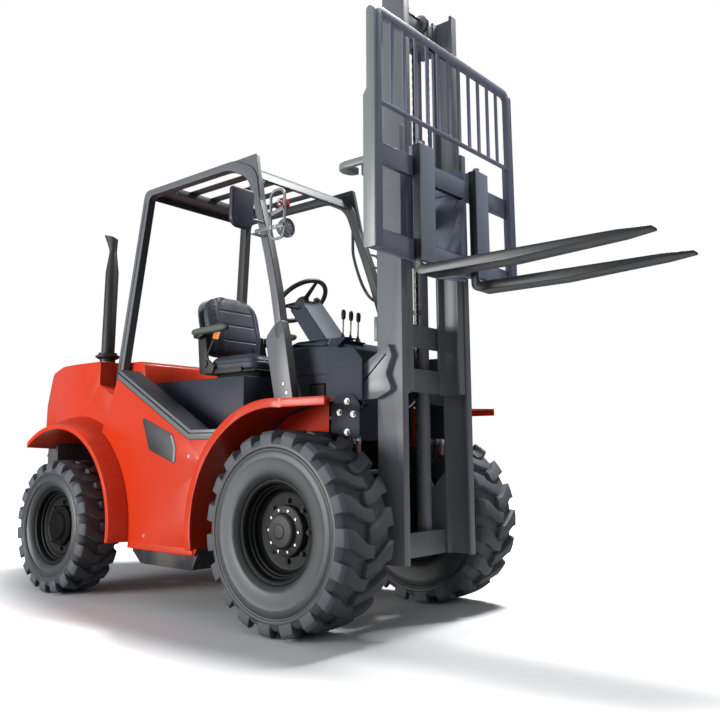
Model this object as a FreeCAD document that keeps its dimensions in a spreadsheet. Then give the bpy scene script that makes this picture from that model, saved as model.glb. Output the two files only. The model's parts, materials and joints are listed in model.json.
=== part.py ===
import FreeCAD, Part
import math
import os
import re

import Sketcher

# Rough terrain forklift with a two stage mast, standing on its four wheels.
# Frame: +X forward to the fork tips, +Y to the operator's left, +Z up, millimetres.
# The origin is on the floor, in the middle of the whole machine's box.
# In the sheet every x is measured forward from the front axle and every z up from
# the floor; each sub-part's placement then carries it to the part's own frame.

doc = FreeCAD.newDocument("RoughTerrainForklift")

# ---------------------------------------------------------------------------
# Driving dimensions
# ---------------------------------------------------------------------------
SIZES = [
    # wheels
    ("wheelbase", 1850), ("front_track", 1120), ("rear_track", 1270),
    ("front_tyre_d", 927), ("front_tyre_w", 350), ("front_rim_d", 445),
    ("rear_tyre_d", 773), ("rear_tyre_w", 264), ("rear_rim_d", 419),
    ("lug_count", 19), ("lug_height", 28), ("lug_root", 12), ("lug_end", 12),
    ("front_lug_w", 60), ("front_lug_shift", 46), ("rear_lug_w", 48), ("rear_lug_shift", 34),
    ("bulge_rise", 80), ("crown_in", 36),
    ("rim_wall", 12), ("rim_flange", 14), ("disc_thick", 16),
    ("hub_d", 216), ("spindle_d", 80), ("shaft_gap", 0.3), ("running_gap", 6),
    ("front_hub_out", 118), ("rear_hub_out", 84), ("front_disc_in", 34), ("rear_disc_in", 16),
    # front axle
    ("axle_tube_d", 150), ("diff_d", 320), ("diff_w", 220), ("drum_d", 300), ("drum_w", 110),
    # rear axle and steering knuckles
    ("kingpin_inset", 122), ("kingpin_d", 44), ("beam_h", 110), ("beam_w", 120),
    ("knuckle_arm", 26), ("knuckle_w", 96), ("cradle_rod_d", 90),
    # chassis
    ("chassis_half_w", 190), ("chassis_wall", 20), ("chassis_z", 560), ("chassis_h", 170),
    ("chassis_front", 60), ("chassis_tail", 300), ("cheek_thick", 25), ("cheek_y", 330),
    ("outrigger_ahead", 700), ("outrigger_front", 760),
    ("pivot_x", 170), ("pivot_z", 500), ("pivot_d", 60), ("pivot_boss_d", 120),
    # counterweight
    ("weight_tail", 560), ("weight_nose", 300.3), ("weight_low", 470), ("weight_top", 960),
    ("weight_half_w", 560), ("tow_pin_d", 30), ("tow_slot_h", 60), ("tow_slot_deep", 110),
    ("tow_z", 620), ("weight_well", 72),
    # engine
    ("engine_ahead", 670), ("engine_behind", 110), ("engine_half_w", 200),
    ("engine_low", 730.3), ("engine_top", 1180),
    # rear body shell
    ("body_tail", 570), ("body_ahead", 455), ("body_low", 960), ("body_top", 1372),
    ("body_half_w", 600), ("body_neck", 438), ("body_wall", 6), ("body_tail_h", 1130),
    ("arch_gap", 188), ("flare_out", 752), ("flare_thick", 26), ("flare_width", 66),
    ("flare_low", 330), ("flare_tail_z", 790), ("liner_in", 300),
    # side panels
    ("panel_y", 650), ("panel_thick", 8), ("panel_low", 300), ("panel_front", 615),
    ("sill_z", 880), ("sill_turn_x", 900), ("elbow_ahead", 250), ("elbow_z", 1275),
    ("seam_low_ahead", 550), ("seam_mid_ahead", 330), ("seam_mid_z", 940),
    # front fenders
    ("fender_gap", 136), ("fender_wall", 6), ("fender_in", 372), ("fender_out", 728),
    ("fender_lip", 34), ("fender_front", 330), ("fender_low", 340),
    # operator's place
    ("floor_thick", 8), ("floor_half_w", 560), ("cover_ahead", 520), ("cover_front", 560),
    ("cover_half_w", 400), ("cover_top", 1235), ("cover_wall", 6), ("hinge_ahead", 500),
    ("hinge_z", 1226), ("hinge_y", 275), ("hinge_d", 28), ("hinge_pin_d", 14), ("seat_z", 1290),
    ("seat_x", 870), ("seat_w", 500), ("seat_deep", 470), ("cushion_h", 100),
    ("back_h", 400), ("back_thick", 110), ("back_lean", 12), ("armrest_w", 60),
    ("armrest_l", 270), ("armrest_z", 1520),
    ("cowl_rear", 330), ("cowl_front", 18), ("shoulder_front", 90), ("shoulder_in", 210),
    ("cowl_half_w", 370.7), ("cowl_top", 1400),
    ("cowl_wall", 6), ("wing_front", 250), ("pod_half_w", 95), ("mast_bay", 205),
    ("wheel_x", 515), ("wheel_z", 1700), ("wheel_d", 350), ("wheel_rim_d", 28), ("wheel_tilt", 40), ("column_d", 60), ("column_l", 420),
    ("lever_d", 14), ("lever_l", 150), ("lever_x", 22), ("lever_y", 75), ("lever_pitch", 62),
    # overhead guard
    ("guard_base_y", 520), ("guard_lean", 2.9), ("pillar_thick", 50), ("pillar_w", 68),
    ("guard_top", 2500), ("guard_rear_ahead", 360), ("guard_front_top", 470),
    ("foot_x", 145), ("foot_z", 1066), ("foot_w", 130),
    ("slat_w", 46), ("slat_thick", 12), ("slat_count", 5), ("roof_bar", 60),
    # lamps, mirrors and exhaust
    ("lamp_d", 104), ("lamp_deep", 70), ("lamp_z", 1978), ("lamp_y", 486), ("lamp_x", 152),
    ("signal_d", 72), ("signal_deep", 76), ("signal_z", 2112), ("loop_rear", 236),
    ("loop_front", 122), ("loop_low", 1905), ("loop_top", 2182), ("loop_bar", 12),
    ("lamp_arm_x", 378), ("lamp_arm_w", 36), ("mirror_h", 220), ("mirror_w", 156),
    ("mirror_deep", 36), ("mirror_z", 2090),
    ("mirror_y", 628), ("mirror_x", 362), ("rear_lamp_w", 90), ("rear_lamp_h", 150), ("rear_lamp_out", 16),
    ("exhaust_behind", 80), ("exhaust_y", 370), ("exhaust_d", 90), ("exhaust_tip_l", 180),
    ("exhaust_tip_d", 60), ("exhaust_neck", 2110), ("collar_d", 160), ("collar_z", 1470),
    ("collar_h", 60), ("tube_wall", 3),
    # mast
    ("mast_rear", 293), ("mast_front", 445), ("mast_low", 307), ("mast_height", 2143),
    ("mast_half_w", 308), ("rail_w", 46), ("rail_web", 16), ("rail_flange", 18),
    ("mast_gap", 6), ("inner_rail_w", 52), ("inner_height", 2150), ("mast_lift", 812),
    ("tie_thick", 20), ("tie_h", 120), ("mid_tie_z", 1360), ("crown_deep", 150), ("crown_h", 60),
    ("crown_drop", 190), ("lift_stroke", 1500),
    ("lift_x", 232), ("lift_y", 160), ("barrel_d", 76),
    ("barrel_top", 1990), ("rod_d", 45), ("cylinder_gap", 0.5), ("gland_d", 92),
    ("sheave_d", 110), ("sheave_w", 26), ("chain_w", 22), ("chain_thick", 14),
    ("chain_y", 95), ("anchor_rise", 19), ("roller_w", 24), ("roller_gap", 0.5),
    # tilt ears and cylinders
    ("ear_out", 342), ("ear_x", 154), ("ear_z", 1145), ("tilt_y", 262), ("tilt_pin_d", 30),
    ("tilt_barrel_d", 76), ("tilt_rod_d", 40), ("tilt_anchor_x", 400), ("tilt_anchor_z", 740),
    ("tilt_barrel_l", 420), ("eye_d", 72), ("eye_w", 40), ("eye_drift", 5),
    # carriage and forks
    ("bar_rear", 500), ("bar_front", 527), ("bar_h", 105), ("carriage_half_w", 640),
    ("lower_bar_z", 1728), ("bar_pitch", 419), ("plate_thick", 16), ("plate_y", 150),
    ("fork_gap", 1), ("fork_thick", 48), ("fork_w", 125), ("fork_length", 1070),
    ("fork_low", 1652), ("fork_y", 258), ("fork_tip_thick", 12), ("fork_taper", 620),
    ("hook_h", 60), ("roller_rise", 265),
    # load backrest
    ("rest_top", 2915), ("rest_rod_z", 2425), ("rest_bar", 45), ("rest_thick", 30), ("rest_slat_w", 26),
    ("rest_slat_thick", 10), ("rest_slat_count", 11),
    # tanks
    ("tank_front", 560), ("tank_ahead", 670), ("tank_low", 225), ("tank_top", 679.7),
    ("tank_in", 300), ("tank_out", 635),
]

sheet = doc.addObject("Spreadsheet::Sheet", "Sizes")
for row, (alias, number) in enumerate(SIZES, start=1):
    sheet.set("A%d" % row, alias)
    sheet.set("B%d" % row, str(number))
    sheet.setAlias("B%d" % row, alias)

# Places that follow from the driving dimensions, as properties with expressions.
LAYOUT = [
    ("front_reach", "bar_front + fork_gap + fork_thick + fork_length"),
    ("body_rear", "wheelbase + body_tail"),
    ("body_front", "wheelbase - body_ahead"),
    ("chassis_rear", "wheelbase + chassis_tail"),
    ("outrigger_rear", "wheelbase - outrigger_ahead"),
    ("weight_rear", "wheelbase + weight_tail"),
    ("weight_front", "wheelbase + weight_nose"),
    ("engine_front", "wheelbase - engine_ahead"),
    ("engine_rear", "wheelbase + engine_behind"),
    ("elbow_x", "wheelbase - elbow_ahead"),
    ("seam_low_x", "wheelbase - seam_low_ahead"),
    ("seam_mid_x", "wheelbase - seam_mid_ahead"),
    ("cover_rear", "wheelbase - cover_ahead"),
    ("hinge_x", "wheelbase - hinge_ahead"),
    ("guard_rear_top", "wheelbase - guard_rear_ahead"),
    ("tank_rear", "wheelbase - tank_ahead"),
    ("exhaust_x", "wheelbase + exhaust_behind"),
    ("exhaust_top", "exhaust_neck + exhaust_tip_l"),
    ("axle_x", "(body_rear + rear_lamp_out - front_reach) / 2"),
    ("front_r", "front_tyre_d / 2"),
    ("rear_r", "rear_tyre_d / 2"),
    ("front_y", "front_track / 2"),
    ("rear_y", "rear_track / 2"),
    ("arch_r", "rear_r + arch_gap"),
    ("fender_r", "front_r + fender_gap"),
    ("kingpin_y", "rear_y - kingpin_inset"),
    ("outer_in_y", "mast_half_w - rail_w"),
    ("inner_out_y", "mast_half_w - rail_w - mast_gap"),
    ("inner_low", "mast_low + mast_lift"),
    ("inner_top", "inner_low + inner_height"),
    ("upper_bar_z", "lower_bar_z + bar_pitch"),
    ("fender_top", "front_r + fender_r + fender_wall - 3"),
    ("guard_seat", "sill_z + floor_thick + 0.3 + pillar_thick * sin(guard_lean * 1 deg)"),
    ("chain_anchor_z", "upper_bar_z + anchor_rise"),
    ("outer_top", "mast_low + mast_height"),
    ("fork_face_x", "bar_front + fork_gap + fork_thick"),
    ("tilt_angle", "atan2(ear_z - tilt_anchor_z; ear_x + tilt_anchor_x) / 1 deg"),
    ("tilt_span", "sqrt((ear_z - tilt_anchor_z)^2 + (ear_x + tilt_anchor_x)^2)"),
    ("inner_rear", "mast_rear + mast_gap"),
    ("inner_front", "mast_front - mast_gap"),
    ("rail_mid", "(mast_rear + mast_front) / 2"),
    ("head_z", "inner_top - 190"),
    ("sheave_z", "inner_top - 60"),
    ("sheave_x", "mast_rear + 7"),
    ("upper_bar_top", "upper_bar_z + bar_h"),
    ("fork_top", "fork_low + fork_thick"),
]
layout = doc.addObject("App::FeaturePython", "Layout")
doc.recompute()

NAMES = {alias: "Sizes." for alias, _ in SIZES}
NAMES.update({name: "Layout." for name, _ in LAYOUT})


def ex(text):
    """Expression text with each size's name led by the object that holds it."""
    return re.sub(r"[a-z_][a-z_0-9]*", lambda m: NAMES.get(m.group(0), "") + m.group(0), str(text))


for name, formula in LAYOUT:
    layout.addProperty("App::PropertyFloat", name)
    layout.setExpression(name, ex(formula))
doc.recompute()


def bind(obj, **formulas):
    """Tie properties to the sheet; a double underscore stands for a dot."""
    for prop, formula in formulas.items():
        obj.setExpression(prop.replace("__", "."), ex(formula))
    return obj


def place(obj, x=0, y=0, z=0):
    return bind(obj, Placement__Base__x=x, Placement__Base__y=y, Placement__Base__z=z)


def turn(obj, axis, angle):
    """Turn a primitive about a fixed axis by a number or a formula."""
    obj.Placement = FreeCAD.Placement(FreeCAD.Vector(), FreeCAD.Rotation(FreeCAD.Vector(*axis), 90))
    return bind(obj, Placement__Rotation__Angle=angle)


# ---------------------------------------------------------------------------
# Building blocks
# ---------------------------------------------------------------------------
def box(x0, x1, y0, y1, z0, z1):
    """Box between six planes, each given as a formula."""
    block = doc.addObject("Part::Box", "Block")
    bind(block, Length="(%s) - (%s)" % (x1, x0), Width="(%s) - (%s)" % (y1, y0),
         Height="(%s) - (%s)" % (z1, z0))
    return place(block, x0, y0, z0)


def rod_z(x, y, z0, z1, d):
    rod = doc.addObject("Part::Cylinder", "RodZ")
    bind(rod, Radius="(%s) / 2" % d, Height="(%s) - (%s)" % (z1, z0))
    return place(rod, x, y, z0)


def rod_y(x, z, y0, y1, d):
    rod = doc.addObject("Part::Cylinder", "RodY")
    bind(rod, Radius="(%s) / 2" % d, Height="(%s) - (%s)" % (y1, y0))
    turn(rod, (-1, 0, 0), 90)
    return place(rod, x, y0, z)


def rod_x(y, z, x0, x1, d):
    rod = doc.addObject("Part::Cylinder", "RodX")
    bind(rod, Radius="(%s) / 2" % d, Height="(%s) - (%s)" % (x1, x0))
    turn(rod, (0, 1, 0), 90)
    return place(rod, x0, y, z)


def fuse(pieces, refine=False):
    if len(pieces) == 1:
        return pieces[0]
    joined = doc.addObject("Part::MultiFuse", "Joined")
    joined.Shapes = pieces
    joined.Refine = refine
    return joined


def cut(base, tools):
    result = doc.addObject("Part::Cut", "Cut")
    result.Base = base
    result.Tool = fuse(tools)
    return result


def group(pieces):
    """Like pieces that do not touch, kept together as one sub-part."""
    compound = doc.addObject("Part::Compound", "Group")
    compound.Links = pieces
    return compound


PLANES = {"XY": ("XY_Plane", 1), "XZ": ("XZ_Plane", -1), "YZ": ("YZ_Plane", 1)}


def origin_plane(body, role):
    return [f for f in body.Origin.OriginFeatures if f.Role == role][0]


def outline_sketch(body, plane, points, offset="0"):
    """Closed outline whose corners are held by formulas for both coordinates."""
    sketch = body.newObject("Sketcher::SketchObject", "Outline")
    role, sign = PLANES[plane]
    sketch.AttachmentSupport = [(origin_plane(body, role), "")]
    sketch.MapMode = "FlatFace"
    bind(sketch, AttachmentOffset__Base__z="%d * (%s)" % (sign, offset))
    count = len(points)
    start = [FreeCAD.Vector(100 * math.cos(2 * math.pi * i / count),
                            100 * math.sin(2 * math.pi * i / count), 0) for i in range(count)]
    for i in range(count):
        sketch.addGeometry(Part.LineSegment(start[i], start[(i + 1) % count]), False)
    for i in range(count):
        sketch.addConstraint(Sketcher.Constraint("Coincident", i, 2, (i + 1) % count, 1))
    for i, (u, v) in enumerate(points):
        for kind, formula in (("DistanceX", u), ("DistanceY", v)):
            index = sketch.addConstraint(Sketcher.Constraint(kind, -1, 1, i, 1, 1.0))
            sketch.setExpression("Constraints[%d]" % index, ex(formula))
    return sketch


def slab(points, plane, low, high, rounds=()):
    """Plate of an outline between two parallel planes, with rounded corners.

    rounds lists (corner number, radius formula)."""
    body = doc.addObject("PartDesign::Body", "Plate")
    sketch = outline_sketch(body, plane, points, "((%s) + (%s)) / 2" % (low, high))
    pad = body.newObject("PartDesign::Pad", "Pad")
    pad.Profile = sketch
    pad.Midplane = True
    bind(pad, Length="(%s) - (%s)" % (high, low))
    for corner, radius in rounds:
        doc.recompute()
        tip = body.Tip
        at = sketch.Placement.multVec(sketch.Geometry[corner].StartPoint)
        normal = sketch.Placement.Rotation.multVec(FreeCAD.Vector(0, 0, 1))
        names = []
        for i, edge in enumerate(tip.Shape.Edges, start=1):
            ends = [v.Point - at for v in edge.Vertexes]
            if len(ends) == 2 and all((e - normal * e.dot(normal)).Length < 0.01 for e in ends):
                names.append("Edge%d" % i)
        fillet = body.newObject("PartDesign::Fillet", "Round")
        fillet.Base = (tip, names)
        bind(fillet, Radius=radius)
    return body


def facet_ring(points, count):
    """Ring of flat faces round the Y axis, through a closed outline of (radius, y) corners.

    Each radius is that of the circle that the faces touch from outside."""
    corners = int(layout.evalExpression(ex(count)))
    grow = 1 / math.cos(math.pi / corners)
    rings = []
    for radius, y in points:
        r, depth = (float(layout.evalExpression(ex(value))) for value in (radius, y))
        rings.append([FreeCAD.Vector(r * grow * math.sin(2 * math.pi * i / corners), depth,
                                     r * grow * math.cos(2 * math.pi * i / corners))
                      for i in range(corners)])
    faces = []
    for near, far in zip(rings, rings[1:] + rings[:1]):
        for i in range(corners):
            j = (i + 1) % corners
            faces.append(Part.Face(Part.makePolygon([near[i], near[j], far[j], far[i], near[i]])))
    solid = Part.Solid(Part.makeShell(faces))
    solid.fix(0.001, 0.001, 0.001)
    if solid.Volume < 0:
        solid.reverse()
    ring = doc.addObject("Part::Feature", "FacetRing")
    ring.Shape = solid
    return ring


def revolve(points):
    """Ring turned about the Y axis from an outline of (radius, y) corners."""
    body = doc.addObject("PartDesign::Body", "Ring")
    sketch = outline_sketch(body, "XY", points)
    ring = body.newObject("PartDesign::Revolution", "Revolution")
    ring.Profile = sketch
    ring.ReferenceAxis = (sketch, ["V_Axis"])
    ring.Angle = 360
    return body


SUBPARTS = []


def keep(label, obj, x="axle_x", y="0", z="0"):
    """Name a finished sub-part and carry it to its place in the part's frame."""
    obj.Label = label
    place(obj, x, y, z)
    SUBPARTS.append(obj)
    return obj


def sides():
    return (("right", -1), ("left", 1))


def across(side, near, far):
    """The low and high y of something between two distances from the middle."""
    if side > 0:
        return near, far
    return "-(%s)" % far, "-(%s)" % near


def ring_at(label, points, x, side, y, z):
    """A wheel piece, its outline mirrored to its side and set at its hub."""
    body = revolve([(r, "%d * (%s)" % (side, t)) for r, t in points])
    return keep(label, body, x, "%d * (%s)" % (side, y), z)


# ---------------------------------------------------------------------------
# Wheels and axles
# ---------------------------------------------------------------------------
def wheel(name, side_name, side, tyre_d, tyre_w, rim_d, disc_in, hub_out, x, y):
    """Tyre with two staggered rows of lugs, and a deep dished rim with its hub."""
    tyre_r, half, rim_r = "(%s) / 2" % tyre_d, "(%s) / 2" % tyre_w, "(%s) / 2" % rim_d
    bead = rim_r + " + rim_flange + 0.3"
    profile = [(rim_r + " + 0.3", half + " - 44.3"), (bead, half + " - 44.3"),
               (rim_r + " + bulge_rise", half),
               ("%s - lug_height - lug_root / 2" % tyre_r, half + " - crown_in")]
    outline = profile + [(r, "-(%s)" % w) for r, w in reversed(profile)]
    pieces = [facet_ring(outline, "lug_count")]
    pieces += [lug_row(name, tyre_r, half, row, row * side) for row in (-1, 1)]
    keep("%s_tyre_%s" % (name, side_name), fuse(pieces, True), x, "%d * (%s)" % (side, y), tyre_r)
    well = rim_r + " - rim_wall"
    edge = half + " - 44"
    rim = [(rim_r, edge), (rim_r + " + rim_flange", edge), (rim_r + " + rim_flange", edge + " + 8"),
           (well, edge + " + 8"), (well, "%s + disc_thick" % disc_in),
           ("hub_d / 2", "%s + disc_thick" % disc_in), ("hub_d / 2", hub_out), ("0", hub_out),
           ("0", "%s - 6" % hub_out), ("spindle_d / 2 + shaft_gap", "%s - 6" % hub_out),
           ("spindle_d / 2 + shaft_gap", "0"), ("hub_d / 2 + 10", "0"),
           ("hub_d / 2 + 10", disc_in), (well, disc_in), (well, "-(%s) - 8" % edge),
           (rim_r + " + rim_flange", "-(%s) - 8" % edge), (rim_r + " + rim_flange", "-(%s)" % edge),
           (rim_r, "-(%s)" % edge)]
    ring_at("%s_rim_%s" % (name, side_name), rim, x, side, y, tyre_r)


def lug_row(name, tyre_r, half, row, outer):
    """One side's slanting lugs, from past the middle to the shoulder, with flat tops.

    The outer row stands half a step round from the inner one, and both are turned so
    that the corner of a lug in the inner row stands on the floor."""
    body = doc.addObject("PartDesign::Body", "Lugs")
    lug_w, lug_shift = name + "_lug_w", name + "_lug_shift"
    reach = "(%s + %s) / 2" % (lug_w, lug_shift)
    corners = [("(%s - %s) / 2" % (lug_shift, lug_w), "-lug_end"), (reach, "-lug_end"),
               ("(%s - %s) / 2" % (lug_w, lug_shift), half + " - lug_end"),
               ("-(%s)" % reach, half + " - lug_end")]
    foot = "%s - lug_height - lug_root" % tyre_r
    sketch = outline_sketch(body, "XY", [(t, "%d * (%s)" % (row, w)) for t, w in corners], foot)
    pad = body.newObject("PartDesign::Pad", "Lug")
    pad.Profile = sketch
    bind(pad, Length="sqrt((%s)^2 - (%s)^2) - (%s)" % (tyre_r, reach, foot))
    doc.recompute()
    ring = body.newObject("PartDesign::PolarPattern", "Row")
    ring.Originals = [pad]
    ring.Axis = (origin_plane(body, "Y_Axis"), [""])
    ring.Angle = 360
    bind(ring, Occurrences="lug_count")
    body.Tip = ring
    phase = "180 / lug_count - asin(%s / (%s)) / 1 deg" % (reach, tyre_r)
    turn(body, (0, 1, 0), phase + " + 180 / lug_count" if outer > 0 else phase)
    return body


def front_axle():
    """Drive axle: tube, differential housing, brake drums and wheel spindles."""
    pieces = [rod_y("0", "0", "-front_y - front_hub_out + 12", "front_y + front_hub_out - 12",
                    "spindle_d"),
              rod_y("0", "0", "-front_y + running_gap + drum_w", "front_y - running_gap - drum_w",
                    "axle_tube_d"),
              rod_y("0", "0", "-diff_w / 2", "diff_w / 2", "diff_d")]
    for _, s in sides():
        low, high = across(s, "front_y - running_gap - drum_w", "front_y - running_gap")
        pieces.append(rod_y("0", "0", low, high, "drum_d"))
    keep("front_axle", fuse(pieces), z="front_r")


def rear_axle():
    """Steering axle: a cast beam with a kingpin boss at each end, on its centre pivot."""
    reach = "kingpin_y"
    beam = box("-beam_w / 2", "beam_w / 2", "-" + reach, reach, "-beam_h / 2", "beam_h / 2")
    bosses = [rod_z("0", "%d * kingpin_y" % s, "-beam_h / 2", "beam_h / 2", "beam_w")
              for _, s in sides()]
    bores = [rod_z("0", "%d * kingpin_y" % s, "-beam_h", "beam_h", "kingpin_d + 2 * shaft_gap")
             for _, s in sides()]
    pivot = rod_x("0", "beam_h / 2 + 20", "-chassis_half_w", "chassis_half_w", "cradle_rod_d")
    keep("rear_axle", cut(fuse([beam, pivot] + bosses), bores), "axle_x - wheelbase", "0", "rear_r")


def knuckle(side_name, s):
    """Steering knuckle: two arms above and below the boss, kingpin and wheel spindle."""
    gap = "running_gap"
    pin = rod_z("0", "0", "-beam_h / 2 - %s - knuckle_arm" % gap,
                "beam_h / 2 + %s + knuckle_arm" % gap, "kingpin_d")
    arms = []
    for up in (-1, 1):
        z0, z1 = across(up, "beam_h / 2 + " + gap, "beam_h / 2 + %s + knuckle_arm" % gap)
        y0, y1 = across(s, "-knuckle_w / 2", "beam_w / 2 + 8 + knuckle_arm")
        arms.append(box("-knuckle_w / 2", "knuckle_w / 2", y0, y1, z0, z1))
    y0, y1 = across(s, "beam_w / 2 + 8", "beam_w / 2 + 8 + knuckle_arm")
    web = box("-knuckle_w / 2", "knuckle_w / 2", y0, y1, "-beam_h / 2 - 10", "beam_h / 2 + 10")
    y0, y1 = across(s, "beam_w / 2 + 8 + knuckle_arm", "kingpin_inset + rear_hub_out - 12")
    spindle = rod_y("0", "0", y0, y1, "spindle_d")
    keep("knuckle_" + side_name, fuse([pin, web, spindle] + arms), "axle_x - wheelbase",
         "%d * kingpin_y" % s, "rear_r")


# ---------------------------------------------------------------------------
# Chassis
# ---------------------------------------------------------------------------
def chassis():
    """Welded chassis: box beams, front cheeks with the mast pivots, rear axle cradle."""
    pieces = []
    top = "chassis_z + chassis_h"
    for _, s in sides():
        y0, y1 = across(s, "chassis_half_w - chassis_wall", "chassis_half_w")
        pieces.append(box("-chassis_rear", "chassis_front", y0, y1, "chassis_z", top))
        y0, y1 = across(s, "cheek_y - cheek_thick", "cheek_y")
        cheek = slab([("-tilt_anchor_x - 60", "chassis_z + 60"), ("-100", "chassis_z + 30"),
                      ("-60", "front_r - 80"), ("60", "front_r - 80"),
                      ("pivot_x + pivot_boss_d / 2", "pivot_z - pivot_boss_d / 2"),
                      ("pivot_x + pivot_boss_d / 2", "pivot_z + pivot_boss_d / 2"),
                      ("60", "sill_z - 20"), ("-tilt_anchor_x - 60", "sill_z - 20")], "XZ", y0, y1,
                     [(5, "30"), (4, "30")])
        pieces.append(cheek)
    pieces.append(box("-420", "-300", "-cheek_y + 1", "cheek_y - 1", "chassis_z + 20", "chassis_z + 110"))
    pieces.append(box("-60", "chassis_front", "-cheek_y + 1", "cheek_y - 1", top + " - 24", top))
    pieces.append(box("-chassis_rear", "-chassis_rear + 40", "-chassis_half_w + 1",
                      "chassis_half_w - 1", "chassis_z", top))
    for end in ("-wheelbase - 190", "-wheelbase + 150"):
        pieces.append(box(end, end + " + 40", "-chassis_half_w + 1", "chassis_half_w - 1",
                          "rear_r + beam_h / 2 + 12", "chassis_z + 60"))
    # Arms that carry the front fenders, and outriggers for the side panels and the tanks.
    for _, s in sides():
        y0, y1 = across(s, "cheek_y - cheek_thick", "fender_in - 1.3")
        pieces.append(box("-180", "-60", y0, y1, "sill_z - 60", "sill_z - 8"))
    for x in ("-outrigger_rear", "-outrigger_front"):
        pieces.append(box(x, x + " + 60", "-tank_out + 25", "tank_out - 25", top + " - 50", top))
    for _, s in sides():
        y0, y1 = across(s, "tilt_y - eye_w / 2 - 12", "cheek_y - 1")
        pieces.append(rod_y("-tilt_anchor_x", "tilt_anchor_z", y0, y1, "tilt_pin_d"))
        y0, y1 = across(s, "outer_in_y - 4", "cheek_y - 1")
        pieces.append(rod_y("pivot_x", "pivot_z", y0, y1, "pivot_d"))
    axle_hole = rod_y("0", "front_r", "-cheek_y - 5", "cheek_y + 5", "axle_tube_d + 1")
    cradle_hole = rod_x("0", "rear_r + beam_h / 2 + 20", "-chassis_rear + 50", "-wheelbase + 300",
                        "cradle_rod_d + 2 * shaft_gap")
    keep("chassis", cut(fuse(pieces), [axle_hole, cradle_hole]))


# ---------------------------------------------------------------------------
# Weights and engine
# ---------------------------------------------------------------------------
def engine():
    keep("engine_block", box("-engine_rear", "-engine_front", "-engine_half_w", "engine_half_w",
                             "engine_low", "engine_top"), "axle_x - engine_rear",
         "-engine_half_w", "engine_low")


def counterweight():
    """Cast tail weight with a slot and a pin for towing."""
    mass = slab([("-weight_front", "weight_low"), ("-weight_front", "weight_top"),
                 ("-weight_rear", "weight_top"), ("-weight_rear", "weight_low + 90"),
                 ("-weight_rear + 70", "weight_low")], "XZ", "-weight_half_w", "weight_half_w",
                [(3, "30")])
    round_off = slab([("-weight_rear - 5", "-weight_half_w - 5"),
                      ("-weight_rear + 150", "-weight_half_w - 5"),
                      ("-weight_rear - 5", "-weight_half_w + 110")], "XY", "weight_low - 5",
                     "weight_top + 5")
    round_other = slab([("-weight_rear - 5", "weight_half_w + 5"),
                        ("-weight_rear - 5", "weight_half_w - 110"),
                        ("-weight_rear + 150", "weight_half_w + 5")], "XY", "weight_low - 5",
                       "weight_top + 5")
    slot = box("-weight_rear - 10", "-weight_rear + tow_slot_deep", "-90", "90",
               "tow_z - tow_slot_h / 2", "tow_z + tow_slot_h / 2")
    bore = rod_z("-weight_rear + tow_slot_deep / 2", "0", "tow_z - tow_slot_h", "weight_top + 10",
                 "tow_pin_d + 2 * shaft_gap")
    wells = [rod_y("-wheelbase", "rear_r", *across(s, "liner_in - 40", "weight_half_w + 50"),
                   "rear_tyre_d + 2 * weight_well") for _, s in sides()]
    keep("counterweight", cut(mass, [slot, bore, round_off, round_other] + wells))
    pin = rod_z("0", "0", "tow_z - tow_slot_h + 1", "weight_top + 6", "tow_pin_d")
    knob = rod_z("0", "0", "weight_top + 6", "weight_top + 24", "tow_pin_d + 26")
    keep("tow_pin", fuse([pin, knob]), "axle_x - weight_rear + tow_slot_deep / 2")


# ---------------------------------------------------------------------------
# Body shell
# ---------------------------------------------------------------------------
def shell_form(inset):
    """Closed form of the rear body, its faces drawn in by an inset.

    Behind the guard it is full width; a narrower neck runs forward between the pillars."""
    i, top = " + %s" % inset, "body_top - %s" % inset
    wide = slab([("-body_rear" + i, "body_low - 20"), ("-body_rear" + i, "body_tail_h - %s / 2" % inset),
                 ("-body_rear + 105" + i, "body_top - 35 - %s" % inset),
                 ("-body_rear + 300" + i, top), ("-elbow_x - 45 - %s" % inset, top),
                 ("-elbow_x - 45 - %s" % inset, "elbow_z - 45"),
                 ("-elbow_x + 200 - %s" % inset, "elbow_z - 170"),
                 ("-seam_mid_x - 1 - %s" % inset, "body_low - 20")],
                "XZ", "-body_half_w + %s" % inset, "body_half_w - %s" % inset,
                [(1, "60"), (2, "60")])
    neck = slab([("-elbow_x - 140", "body_low - 20"), ("-elbow_x - 140", top),
                 ("-body_front - 35 - %s" % inset, top), ("-body_front - %s" % inset, "elbow_z - 30"),
                 ("-body_front - %s" % inset, "body_low - 20")],
                "XZ", "-body_neck + %s" % inset, "body_neck - %s" % inset, [(3, "60"), (2, "40")])
    return fuse([wide, neck])


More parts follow.
